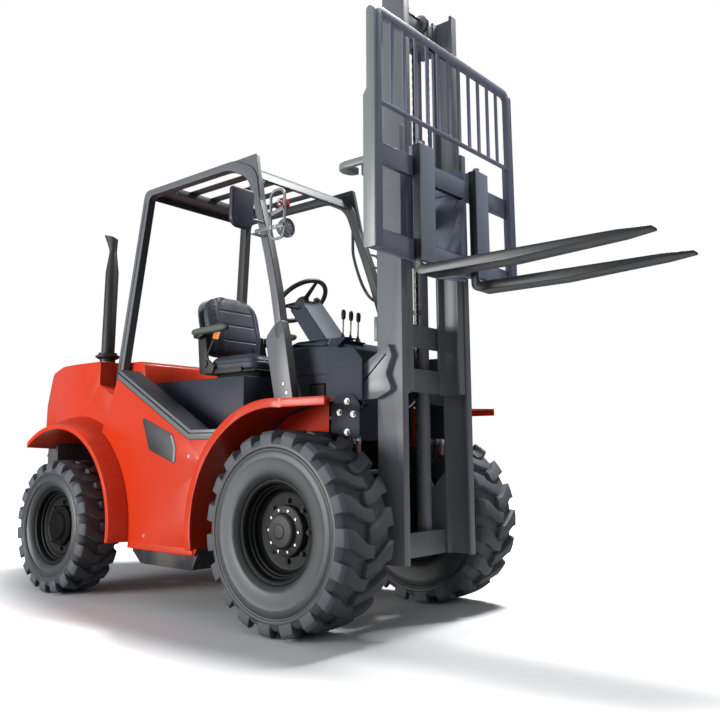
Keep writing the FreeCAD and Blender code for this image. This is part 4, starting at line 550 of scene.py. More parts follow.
def ring_plate(bm, outer, inner, axis, lo, hi):
    """Adds a plate with one opening; both outlines have the same number of points."""
    rows = [[bm.verts.new(set_in(pair, axis, depth)) for pair in outline] for outline, depth in
        ((outer, lo), (outer, hi), (inner, hi), (inner, lo))]
    for one, two in zip(rows, rows[1:] + rows[:1]):
        bridged(bm, one, two)


def spun(profile, start, axis, count=48, closed=False):
    """Mesh turned about an axis from (radius, distance along it) points; poles stay closed."""
    bm = bmesh.new()
    turned(bm, profile, Vector((0, 0, 0)), count, closed)
    outward(bm)
    turn = Vector(axis).to_track_quat("Y", "Z").to_matrix().to_4x4()
    bm.transform(Matrix.Translation(start) @ turn)
    return mesh_of(bm)


def bar(start, end, radius, count=16, soft=0.0015):
    """Mesh of a round bar with eased ends."""
    start, end = Vector(start), Vector(end)
    length = (end - start).length
    soft = min(soft, radius * 0.5)
    return spun([(0.0, 0.0), (radius - soft, 0.0), (radius, soft), (radius, length - soft),
        (radius - soft, length), (0.0, length)], start, end - start, count)


def bent(points, radius):
    """Mesh of a bent round bar along a smooth line."""
    curve = bpy.data.curves.new("line", "CURVE")
    curve.dimensions = "3D"
    curve.bevel_depth = radius
    curve.bevel_resolution = 3
    curve.resolution_u = 8
    curve.use_fill_caps = True
    spline = curve.splines.new("NURBS")
    spline.points.add(len(points) - 1)
    for point, place in zip(spline.points, points):
        point.co = (*place, 1.0)
    spline.order_u = 3
    spline.use_endpoint_u = True
    mesh = plain(linked("line", curve))
    bpy.data.curves.remove(curve)
    return mesh


def plate(outline, axis, lo, hi, width=0.002, segments=2):
    """Mesh of a flat plate with eased edges."""
    bm = bmesh.new()
    prism(bm, outline, axis, lo, hi)
    return softened(bm, width, segments)


def upright(pairs, y0, y1, radius=0.0, special=None, steps=6, width=0.002, segments=2):
    """Mesh of a plate along the machine, its outline forward of the front axle and upwards."""
    outline = filleted([(FRONT_AXLE + x, z) for x, z in pairs], radius, special, steps)
    return plate(outline, "y", *sorted((y0, y1)), width, segments)


def brick(lo, hi, width=0.002, segments=2):
    """Mesh of an upright block with eased edges, between any two opposite corners."""
    x, y, z = (sorted(pair) for pair in zip(lo, hi))
    return plate([(x[0], y[0]), (x[1], y[0]), (x[1], y[1]), (x[0], y[1])], "z", *z, width, segments)


def two_tone(piece, second, picks):
    """Paints the faces that a test picks with a second finish."""
    piece.data.materials.append(painted(second))
    for face in piece.data.polygons:
        if picks(face):
            face.material_index = 1


# ---------------------------------------------------------------------------
# Geometry Nodes for what repeats
# ---------------------------------------------------------------------------
def geometry_tree(name, inputs):
    """Empty geometry tree with named inputs; returns the tree and its two end nodes."""
    tree = bpy.data.node_groups.new(name, "GeometryNodeTree")
    tree.interface.new_socket("Geometry", in_out="INPUT", socket_type="NodeSocketGeometry")
    for label, kind in inputs:
        tree.interface.new_socket(label, in_out="INPUT", socket_type=kind)
    tree.interface.new_socket("Geometry", in_out="OUTPUT", socket_type="NodeSocketGeometry")
    return tree, tree.nodes.new("NodeGroupInput"), tree.nodes.new("NodeGroupOutput")


def closing(tree, start, last, end):
    """Realizes a last node's copies, paints them and hands them to the tree's output."""
    real = node(tree, "GeometryNodeRealizeInstances", in_0=last)
    paint = node(tree, "GeometryNodeSetMaterial", in_Geometry=real,
        in_Material=start.outputs["Material"])
    tree.links.new(paint.outputs[0], end.inputs[0])
    return tree


def ring_tree():
    """Copies of a shape turned round an axis along Y through a hub."""
    tree, start, end = geometry_tree("ring of copies", [
        ("Count", "NodeSocketInt"), ("First angle", FLOAT),
        ("Hub", "NodeSocketVector"), ("Material", "NodeSocketMaterial")])
    add, given = partial(node, tree), start.outputs
    points = add("GeometryNodePoints", in_Count=given["Count"])
    step = add(MATHS, operation="DIVIDE", in_0=2 * pi, in_1=given["Count"])
    angle = add(MATHS, operation="MULTIPLY_ADD", in_0=add("GeometryNodeInputIndex"),
        in_1=step, in_2=given["First angle"])
    spread = add("GeometryNodeInstanceOnPoints", in_Points=points, in_Instance=given["Geometry"],
        in_Rotation=add("ShaderNodeCombineXYZ", in_Y=angle))
    shift = add("GeometryNodeTransform", in_Geometry=spread, in_Translation=given["Hub"])
    return closing(tree, start, shift, end)


def bolt_tree():
    """Hexagon bolt heads with washers on the points of a mesh, set along their normals."""
    tree, start, end = geometry_tree("bolt heads", [("Head radius", FLOAT), ("Head height", FLOAT),
        ("Washer radius", FLOAT), ("Washer height", FLOAT),
        ("Material", "NodeSocketMaterial")])
    add, given = partial(node, tree), start.outputs
    join = add("GeometryNodeJoinGeometry")
    for corners, radius, height, foot in ((6, "Head radius", "Head height", "Washer height"),
            (16, "Washer radius", "Washer height", None)):
        part = add("GeometryNodeMeshCylinder", in_Vertices=corners, in_Radius=given[radius],
            in_Depth=given[height])
        rise = add(MATHS, operation="MULTIPLY", in_0=given[height], in_1=0.5)
        if foot:
            rise = add(MATHS, operation="ADD", in_0=rise, in_1=given[foot])
        shift = add("GeometryNodeTransform", in_Geometry=part,
            in_Translation=add("ShaderNodeCombineXYZ", in_Z=rise))
        tree.links.new(shift.outputs[0], join.inputs[0])
    facing = add("GeometryNodeInputNamedAttribute", data_type="FLOAT_VECTOR", in_Name="facing")
    align = add("FunctionNodeAlignRotationToVector", axis="Z", in_Vector=facing.outputs["Attribute"])
    cloud = add("GeometryNodeMeshToPoints", in_Mesh=given["Geometry"])
    spread = add("GeometryNodeInstanceOnPoints", in_Points=cloud, in_Instance=join,
        in_Rotation=align)
    return closing(tree, start, spread, end)


def chain_tree():
    """Leaf chain: plates of two rows set by turns along a line."""
    tree, start, end = geometry_tree("leaf chain", [
        ("Pitch", FLOAT), ("Width", FLOAT), ("Height", FLOAT),
        ("Material", "NodeSocketMaterial")])
    add, given = partial(node, tree), start.outputs
    curve = add("GeometryNodeMeshToCurve", in_Mesh=given["Geometry"])
    spaced = add("GeometryNodeResampleCurve", mode="LENGTH", in_Curve=curve,
        in_Length=given["Pitch"])
    align = add("FunctionNodeAlignRotationToVector", axis="Z", pivot_axis="Y",
        in_Vector=add("GeometryNodeInputTangent"))
    odd = add(MATHS, operation="MODULO", in_0=add("GeometryNodeInputIndex"), in_1=2.0)
    # a leaf is as thin as a share of the chain's width and laps its neighbours' ends
    thin = add(MATHS, operation="MULTIPLY", in_0=given["Width"], in_1=0.115)
    length = add(MATHS, operation="MULTIPLY", in_0=given["Pitch"], in_1=1.75)
    size = add("ShaderNodeCombineXYZ", in_X=given["Height"], in_Y=length, in_Z=thin)
    leaf = add("GeometryNodeTransform", in_Scale=size, in_Geometry=add(
        "GeometryNodeMeshCylinder", in_Vertices=8, in_Radius=0.5, in_Depth=1.0))
    both = add("GeometryNodeJoinGeometry")
    for row, plates in ((0, (-0.42, -0.14, 0.14, 0.42)), (1, (-0.28, 0.0, 0.28))):
        stack = add("GeometryNodeJoinGeometry")
        for share in plates:
            offset = add(MATHS, operation="MULTIPLY", in_0=given["Width"], in_1=share)
            stand = add("GeometryNodeTransform", in_Rotation=(pi / 2, 0.0, 0.0),
                in_Geometry=leaf, in_Translation=add("ShaderNodeCombineXYZ", in_Y=offset))
            tree.links.new(stand.outputs[0], stack.inputs[0])
        pick = add("FunctionNodeCompare", data_type="FLOAT", operation="EQUAL", in_0=odd,
            in_1=float(row), in_Epsilon=0.1)
        spread = add("GeometryNodeInstanceOnPoints", in_Points=spaced, in_Selection=pick,
            in_Instance=stack, in_Rotation=align)
        tree.links.new(spread.outputs[0], both.inputs[0])
    return closing(tree, start, both, end)


def grown(mesh, name, maker, **inputs):
    """Plain mesh that a geometry tree makes of a mesh."""
    tree = shared(name, maker)
    holder = linked("working", mesh)
    modifier = holder.modifiers.new(name, "NODES")
    modifier.node_group = tree
    sockets = {item.name: item.identifier for item in tree.interface.items_tree
        if item.in_out == "INPUT"}
    for key, value in inputs.items():
        modifier[sockets[key.replace("_", " ")]] = value
    return plain(holder)


def bolts(name, places, facing, look, body, radius=0.009, height=0.007):
    """Bolt heads at places on one body, all facing one way."""
    mesh = bpy.data.meshes.new(name)
    mesh.from_pydata([tuple(p) for p in places], [], [])
    lined = mesh.attributes.new("facing", "FLOAT_VECTOR", "POINT")
    for item in lined.data:
        item.vector = facing
    heads = grown(mesh, "bolt heads", bolt_tree, Head_radius=radius, Head_height=height,
        Washer_radius=radius * 1.5, Washer_height=height * 0.3, Material=painted(look))
    return new_piece(name, heads, look, body)


def sliced(bm, axis, places):
    """Cuts a form's faces by flat planes across one axis, so that it can be bent there."""
    facing = Vector((axis == "x", axis == "y", axis == "z"))
    for place in places:
        bmesh.ops.bisect_plane(bm, geom=bm.verts[:] + bm.edges[:] + bm.faces[:],
            plane_co=facing * place, plane_no=facing)


def carved(mesh, cutter):
    """A mesh less a closed form."""
    tool = linked("cutter", mesh_of(outward(cutter)))
    done = applied(mesh, ("BOOLEAN", dict(operation="DIFFERENCE", object=tool, solver="EXACT")))
    bpy.data.objects.remove(tool)
    return done


def eased_steel(mesh, width=0.003):
    """Sheet metal's mesh with its edges rounded."""
    return bevelled(mesh, width, miter_outer="MITER_ARC")


# ---------------------------------------------------------------------------
# Operators: one for each piece or group of like pieces
# ---------------------------------------------------------------------------
class StageOperator(bpy.types.Operator):
    """Pale floor, soft studio light and the camera"""
    bl_idname = "forklift.stage"
    bl_label = "Stage"

    REACH = 60.0

    def execute(self, context):
        settings = context.scene.forklift_stage
        self.floor(settings)
        self.world(context, settings)
        # a low lamp at the machine's side, and one high up whose shadow falls towards the camera
        self.lamp("key", (-3.4, -7.5, 1.3), (0.0, 0.0, 1.3), 3.2, settings.key)
        self.lamp("top", (1.2, 2.6, 7.0), (0.0, 0.0, 0.5), 1.3, settings.key * 1.15)
        self.lamp("rim", (6.0, 3.5, 4.0), (0.3, 0.0, 1.2), 3.0, settings.key * 0.06)
        view = bpy.data.cameras.new("camera")
        view.sensor_width, view.lens = 36.0, 39.81
        view.shift_x, view.shift_y = 0.017, -0.0722
        camera = linked("camera", view)
        camera.location = (2.682 + FRONT_AXLE, -3.356, 0.829)
        camera.rotation_euler = (radians(100.165), radians(0.0), radians(40.224))
        context.scene.camera = camera
        context.scene.view_settings.view_transform = "Standard"
        return {"FINISHED"}

    def floor(self, settings):
        """Floor that runs out into the white background past an oval round the machine."""
        mesh = bpy.data.meshes.new("floor")
        corners = [(x * self.REACH, y * self.REACH, 0)
            for x, y in ((-1, -1), (1, -1), (1, 1), (-1, 1))]
        mesh.from_pydata(corners, [], [(0, 1, 2, 3)])
        floor = linked("floor", mesh)
        material = bpy.data.materials.new("studio floor")
        material.use_nodes = True
        tree = material.node_tree
        tree.nodes.clear()
        add = partial(node, tree)
        seen = add("ShaderNodeLightPath").outputs["Is Camera Ray"]
        # seen by the camera the floor is almost white, while it throws less light back up
        tone = add("ShaderNodeMapRange", in_0=seen, in_3=0.4, in_4=0.8)
        oval = add("ShaderNodeVectorMath", operation="MULTIPLY", in_1=(1 / 2.6, 1 / 1.12, 1.0),
            in_0=add("ShaderNodeTexCoord").outputs["Object"])
        far = add("ShaderNodeVectorMath", operation="LENGTH", in_0=oval)
        fade = add("ShaderNodeMapRange", interpolation_type="SMOOTHSTEP", in_0=far.outputs["Value"],
            in_1=0.85, in_2=1.28, in_3=settings.floor, in_4=1.0)
        lift = add(MATHS, operation="MULTIPLY", in_0=seen, in_1=fade)
        total = add("ShaderNodeAddShader", in_0=add("ShaderNodeBsdfDiffuse", in_Color=tone),
            in_1=add("ShaderNodeEmission", in_Color=(1, 1, 1, 1), in_Strength=lift))
        add("ShaderNodeOutputMaterial", in_Surface=total)
        mesh.materials.append(material)

    def world(self, context, settings):
        """Room that is bright above and on the operator's right, and dim ahead."""
        world = bpy.data.worlds.new("studio")
        context.scene.world = world
        world.use_nodes = True
        tree = world.node_tree
        tree.nodes.clear()
        add = partial(node, tree)
        path = add("ShaderNodeLightPath").outputs
        view = add(MATHS, operation="ADD", use_clamp=True, in_0=path["Is Camera Ray"],
            in_1=path["Is Transmission Ray"])
        toward = add("ShaderNodeVectorMath", operation="DOT_PRODUCT", in_1=(-0.4, -0.88, 0.25),
            in_0=add("ShaderNodeTexCoord").outputs["Generated"])
        room = add("ShaderNodeMapRange", interpolation_type="SMOOTHSTEP", in_1=-0.6, in_2=0.9,
            in_0=toward.outputs["Value"], in_3=settings.fill * 0.3, in_4=settings.fill * 1.7)
        soft = add("ShaderNodeBackground", in_Color=(0.86, 0.92, 1.0, 1), in_Strength=room)
        white = add("ShaderNodeBackground", in_Color=(1, 1, 1, 1), in_Strength=1.0)
        both = add("ShaderNodeMixShader", in_0=view, in_1=soft, in_2=white)
        add("ShaderNodeOutputWorld", in_Surface=both)

    def lamp(self, name, place, aim, size, power):
        """Square lamp that faces a place."""
        light = bpy.data.lights.new(name, "AREA")
        light.shape = "SQUARE"
        light.size = size
        light.energy = power
        lamp = linked(name, light)
        lamp.location = place
        lamp.rotation_euler = (Vector(aim) - Vector(place)).to_track_quat("-Z", "Y").to_euler()


class SteelOperator(bpy.types.Operator):
    """Sheet metal and steel with rounded edges and paint"""
    bl_idname = "forklift.steel"
    bl_label = "Panels and steel"

    def execute(self, context):
        plain = {
            "mast": ["outer_rail_right", "outer_rail_left", "outer_ties", "inner_rail_right",
                "inner_rail_left", "inner_ties", "lift_barrels"],
            "carriage": ["carriage", "load_backrest"],
            "cover": ["engine_cover", "floor_plate"],
            "chassis": ["chassis", "side_tanks", "front_axle", "rear_axle", "knuckle_right",
                "knuckle_left", "tilt_barrels"],
            "fork": ["fork_right", "fork_left"],
            "cast": ["counterweight"],
            "chrome": ["lift_rods", "tilt_rods"],
            "steel": ["tow_pin"],
            "engine": ["engine_block"],
        }
        for look, names in plain.items():
            for name in names:
                piece = rounded(name, look)
                if look == "fork":
                    heel = low(name).z + 0.115
                    two_tone(piece, "carriage", lambda face: face.center.z > heel)
        return {"FINISHED"}


class TyresOperator(bpy.types.Operator):
    """Four chunky tyres: a bulging carcass and two staggered rows of lugs"""
    bl_idname = "forklift.tyres"
    bl_label = "Tyres"

    def execute(self, context):
        settings = context.scene.forklift_tyres
        for axle in ("front", "rear"):
            for side_name, side in SIDES:
                tyre = "%s_tyre_%s" % (axle, side_name)
                rim = "%s_rim_%s" % (axle, side_name)
                hub = middle(tyre)
                radius = (high(tyre).z - low(tyre).z) / 2
                half = (high(tyre).y - low(tyre).y) / 2
                rim_radius = (high(rim).z - low(rim).z) / 2 - 0.014
                meshes = [self.carcass(hub, radius, half, rim_radius, settings.lug_height)]
                for row in (-1, 1):
                    lug = self.lug(radius, half, row, settings.lug_height)
                    first = 0.0 if row == side else pi / settings.lug_count
                    meshes.append(grown(lug, "ring of copies", ring_tree, Count=settings.lug_count,
                        First_angle=first, Hub=hub, Material=painted("rubber")))
                piece = joined("%s_carcass" % tyre, meshes, "rubber", BODY_OF[tyre],
                    smooth=40.0, replaces=(tyre,))
                shoulder = radius - 0.062
                two_tone(piece, "sidewall", lambda face: (face.center - hub).xz.length < shoulder)
        return {"FINISHED"}

    def carcass(self, hub, radius, half, rim_radius, lug):
        """Closed tyre body, its sidewalls bulging out, with a raised ring under the shoulder."""
        crown = radius - lug
        side = [(crown, 0.0), (crown - 0.002, half * 0.45), (crown - 0.009, half - 0.034),
            (radius - 0.048, half - 0.014), (radius - 0.062, half - 0.003),
            (radius - 0.07, half - 0.0005), (radius - 0.08, half - 0.0005),
            (radius - 0.086, half - 0.005), (radius - 0.092, half - 0.006),
            (radius - 0.104, half - 0.002), (radius - 0.125, half),
            ((radius + rim_radius) / 2 - 0.02, half - 0.002), (rim_radius + 0.045, half - 0.008),
            (rim_radius + 0.026, half - 0.02), (rim_radius + 0.016, half - 0.034),
            (rim_radius + 0.0145, half - 0.044)]
        line = [tuple(p)[:2] for p in smooth_line([(r, y, 0.0) for r, y in side], 4)]
        line += [(rim_radius + 0.001, half - 0.0445)]
        whole = [(r, hub.y - y) for r, y in reversed(line)] + [(r, hub.y + y) for r, y in line[1:]]
        bm = bmesh.new()
        turned(bm, whole, hub, count=120, closed=True)
        return mesh_of(outward(bm))

    def lug(self, radius, half, row, height):
        """One cranked bar from past the middle to the shoulder, drawn at the front of the wheel."""
        # across the tread, sideways shift, half width on top, radius on top, radius at the foot
        foot = radius - height - 0.012
        stations = [(-0.1, 0.068, 0.027, 0.0, foot), (0.2, 0.06, 0.029, 0.0, foot),
            (0.44, 0.036, 0.033, 0.0, foot), (0.66, 0.008, 0.037, 0.001, foot),
            (0.88, -0.002, 0.041, 0.005, foot - 0.006), (0.975, -0.004, 0.041, 0.022, foot - 0.03),
            (0.995, -0.004, 0.039, 0.046, foot - 0.04)]
        scale = radius / 0.4635
        bm = bmesh.new()
        rings = []
        for across, shift, wide, drop, base in stations:
            ring = []
            for t, r in ((shift - wide - 0.007, base), (shift - wide, radius - drop),
                    (shift, radius - drop), (shift + wide, radius - drop),
                    (shift + wide + 0.007, base)):
                angle = t * scale / radius
                ring.append(bm.verts.new((r * cos(angle), row * across * half, -r * sin(angle))))
            rings.append(ring)
        for one, two in zip(rings, rings[1:]):
            bridged(bm, one, two)
        bm.faces.new(rings[0])
        bm.faces.new(rings[-1])
        return softened(bm, width=0.003, segments=2, angle=32.0)


class RimsOperator(bpy.types.Operator):
    """Deep rims with stepped rings and cast hubs held by bolts"""
    bl_idname = "forklift.rims"
    bl_label = "Rims and hubs"

    def execute(self, context):
        for axle in ("front", "rear"):
            for side_name, side in SIDES:
                rim = "%s_rim_%s" % (axle, side_name)
                tyre = "%s_tyre_%s" % (axle, side_name)
                body = BODY_OF[rim]
                hub = middle(tyre)
                radius = (high(rim).z - low(rim).z) / 2 - 0.014
                half = (high(tyre).y - low(tyre).y) / 2
                # how far the hub's face and the disc stand out from the wheel's middle plane
                face = 0.118 if axle == "front" else 0.084
                disc = 0.034 if axle == "front" else 0.016
                edge = half - 0.044
                lip = [(-0.001, -0.012), (0.001, -0.002), (0.0135, 0.0005), (0.0135, 0.0075),
                    (0.004, 0.008), (-0.006, 0.003), (-0.01, -0.01), (-0.0125, -0.024),
                    (-0.02, -0.026), (-0.022, -0.04), (-0.031, -0.043)]
                well = [(-0.033, 0.034), (-0.046, 0.02), (-0.062, 0.018)]
                back = [(-0.028, 0.03), (-0.012, 0.008), (-0.01, -0.008), (0.0135, -0.0075),
                    (0.0135, -0.0005), (0.001, 0.002), (-0.001, 0.012)]
                dish = [(radius + r, edge + y) for r, y in lip]
                dish += [(radius + r, disc + y) for r, y in well]
                dish += [(0.118, disc + 0.018), (0.112, disc + 0.014), (0.052, disc + 0.014),
                    (0.052, disc + 0.001), (radius - 0.06, disc + 0.001),
                    (radius - 0.034, disc - 0.004)]
                dish += [(radius + r, y - edge) for r, y in back]
                bm = bmesh.new()
                turned(bm, [(r, hub.y + side * y) for r, y in dish], hub, count=96, closed=True)
                mesh = softened(bm, width=0.0015, segments=2, angle=24.0)
                new_piece(rim + "_dish", mesh, "rim", body, replaces=(rim,))

                scale = face / 0.118
                drum = [(0.0, face), (0.03, face), (0.034, face - 0.004), (0.04, face - 0.005),
                    (0.07, face - 0.007), (0.078, face - 0.014), (0.083, face - 0.03 * scale),
                    (0.108, face - 0.036 * scale), (0.116, face - 0.04 * scale),
                    (0.118, face - 0.05 * scale), (0.118, disc + 0.012), (0.0, disc + 0.012)]
                bm = bmesh.new()
                turned(bm, [(r, hub.y + side * y) for r, y in drum], hub, count=64)
                # the rear wheels' hub and bolts are painted near black as painted shade, the front ones
                # grey and steel
                new_piece(rim + "_hub", softened(bm, width=0.003, segments=3, angle=24.0),
                    "hub" if axle == "front" else "rear_hub", body, smooth=50.0)
                self.ring_of_bolts(rim + "_hub_bolts", hub, side, face - 0.037 * scale, 0.096, 10,
                    "steel" if axle == "front" else "rim", body, 0.0065)
                self.ring_of_bolts(rim + "_wheel_nuts", hub, side, disc + 0.018, 0.136, 8,
                    "rim", body, 0.012)
        return {"FINISHED"}

    def ring_of_bolts(self, name, hub, side, out, radius, count, look, body, size):
        places = [(hub.x + radius * cos(2 * pi * i / count), hub.y + side * out,
            hub.z + radius * sin(2 * pi * i / count)) for i in range(count)]
        bolts(name, places, (0, side, 0), look, body, radius=size, height=size * 0.9)


class GuardOperator(bpy.types.Operator):
    """Overhead guard: arched side frames with corner plates, feet, cross plates and slats"""
    bl_idname = "forklift.guard"
    bl_label = "Overhead guard"

    SILL = 0.88
    HALF = 0.52
    LEAN = radians(2.9)
    THICK = 0.05

    def execute(self, context):
        for side_name, side in SIDES:
            self.side_frame(side_name, side)
        self.roof()
        return {"FINISHED"}

    def roof(self):
        """Broad slats from a wide plate at the rear to a bow that bends down at the front."""
        lo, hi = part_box("guard_roof")
        z0, z1 = lo.z + 0.004, lo.z + 0.012
        half, gaps, slat = hi.y - 0.002, 5, 0.066
        gap = (2 * half - (gaps - 1) * slat) / gaps
        bow_x = FRONT_AXLE - 0.69
        parts = [brick((lo.x + 0.01, -half, z0), (lo.x + 0.235, half, z1), 0.002)]
        for k in range(gaps - 1):
            y = -half + gap + k * (gap + slat)
            parts.append(brick((lo.x + 0.23, y, z0 - 0.001), (bow_x + 0.005, y + slat, z1 - 0.001)))
        line = [tuple(p)[:2] for p in smooth_line([(-0.7, 2.4565, 0), (-0.61, 2.452, 0),
            (-0.53, 2.42, 0), (-0.486, 2.352, 0)], 5)]
        below = [(x - 0.004, z - 0.009) for x, z in reversed(line)]
        parts.append(upright(line + below, -half + 0.004, half - 0.004, width=0.001, segments=1))
        for x in (lo.x + 0.02, lo.x + 0.235):
            parts.append(brick((x - 0.012, -half, lo.z - 0.028), (x, half, z0 + 0.002), 0.002))
        joined("guard_roof_slats", parts, "guard", BODY_OF["guard_roof"], replaces=("guard_roof",))

    def leaned(self, bm, side):
        """Turns a frame drawn upright at its outer face into its lean, on its side."""
        for vert in bm.verts:
            x, depth, z = vert.co
            rise = z - self.SILL
            vert.co = at(x, side * (self.HALF - rise * sin(self.LEAN) - depth * cos(self.LEAN)),
                self.SILL + rise * cos(self.LEAN) - depth * sin(self.LEAN))

    def side_frame(self, side_name, side):
        """Arch with a corner plate ahead of it and a broad foot on the fender."""
        name = "guard_" + side_name
        outer = [(-0.555, 0.892), (-0.922, 0.892), (-1.63, 1.245), (-1.498, 2.478),
            (-0.64, 2.482), (-0.452, 2.395), (-0.414, 2.21), (-0.344, 2.02), (-0.285, 1.84),
            (-0.231, 1.66), (-0.191, 1.49), (-0.172, 1.4)]
        inner = [(-0.232, 1.4), (-0.244, 1.49), (-0.286, 1.66), (-0.34, 1.84),
            (-0.4, 2.02), (-0.468, 2.205), (-0.515, 2.345), (-0.69, 2.434),
            (-1.44, 2.434), (-1.56, 1.283), (-0.902, 0.938), (-0.555, 0.938)]
        arch = filleted(outer + inner, 0.02,
            {2: 0.03, 3: 0.05, 4: 0.2, 5: 0.16, 6: 0.4, 7: 0.6, 8: 0.6, 9: 0.6,
                10: 0.2, 13: 0.2, 14: 0.6, 15: 0.6, 16: 0.6, 17: 0.5, 18: 0.16, 19: 0.2,
                20: 0.03, 22: 0.03}, steps=7)
        corner = filleted([(-0.9, 2.462), (-0.9, 2.476), (-0.462, 2.482), (-0.408, 2.195),
            (-0.448, 2.215), (-0.49, 2.36), (-0.64, 2.445)], 0.0, {2: 0.012}, steps=4)
        foot = filleted([(-0.19, 1.5), (-0.158, 1.398), (-0.08, 1.072), (-0.21, 1.072),
            (-0.298, 1.385), (-0.292, 1.42), (-0.246, 1.47)], 0.012, {5: 0.03}, steps=5)
        whole = bmesh.new()
        for outline, outside, inside, width, segments in (
                (arch, 0.0, self.THICK, 0.004, 3), (corner, 0.005, 0.03, 0.001, 1),
                (foot, 0.0, self.THICK, 0.003, 2)):
            bm = bmesh.new()
            prism(bm, outline, "y", outside, inside)
            part = bmesh.new()
            part.from_mesh(softened(bm, width, segments, angle=25.0))
            self.leaned(part, side)
            whole.from_mesh(mesh_of(outward(part)))
        piece = new_piece(name + "_frame", mesh_of(whole), "guard", BODY_OF[name],
            replaces=(name,))
        # the outer faces get a lighter grey, a painted highlight standing for flat bright bands of light
        two_tone(piece, "guard_side", lambda face: face.normal.y * side > 0.97)
        # painted shade: a thin near-black plate stands for the dark channel between the rear pillar's
        # two halves
        channel = bmesh.new()
        prism(channel, [(-1.598, 1.3), (-1.59, 1.3), (-1.474, 2.395), (-1.482, 2.395)], "y",
            -0.0006, 0.002)
        self.leaned(channel, side)
        new_piece(name + "_channel", mesh_of(outward(channel)), "plastic", BODY_OF[name])
        self.sill(side_name, side)
        if side > 0:
            grab = bent([at(-0.478, 0.458, 2.262), at(-0.502, 0.458, 2.25), at(-0.502, 0.459, 2.15),
                at(-0.502, 0.46, 2.046), at(-0.4, 0.464, 1.78), at(-0.33, 0.47, 1.745)], 0.01)
            joined("grab_bar", [grab], "guard", BODY_OF[name], smooth=50.0)
        places = [at(-0.128 - 0.022 * k, side * 0.502, 1.115 + 0.045 * k) for k in range(2)]
        bolts(name + "_foot_bolts", places, (0, side, 0), "steel", BODY_OF[name], 0.008, 0.006)

    def sill(self, side_name, side):
        """Bar that follows the side panel's top edge; its outer face gets the painted highlight, and a
        thin near-black strip along it is the painted shade of a groove.
        """
        name = "guard_" + side_name
        rail = upright(self.strip(0.0, 0.052), side * 0.505, side * 0.648)
        piece = joined(name + "_sill", [rail], "guard", BODY_OF[name])
        two_tone(piece, "guard_side", lambda face: face.normal.y * side > 0.97)
        # painted shade: a thin near-black strip on the bar's outer face stands for a groove
        groove = upright(self.strip(0.03, 0.036), side * 0.646, side * 0.6488, width=0.0003,
            segments=1)
        joined(name + "_sill_groove", [groove], "shadow", BODY_OF[name])

    def strip(self, below, above):
        """Outline of a band between two heights over the panel's edge."""
        edge = [(-1.386, 1.248), (-0.712, 0.887), (-0.45, 0.887)]
        return ([(x, z + below) for x, z in edge]
            + [(x + 0.3 * above, z + above) for x, z in reversed(edge)])


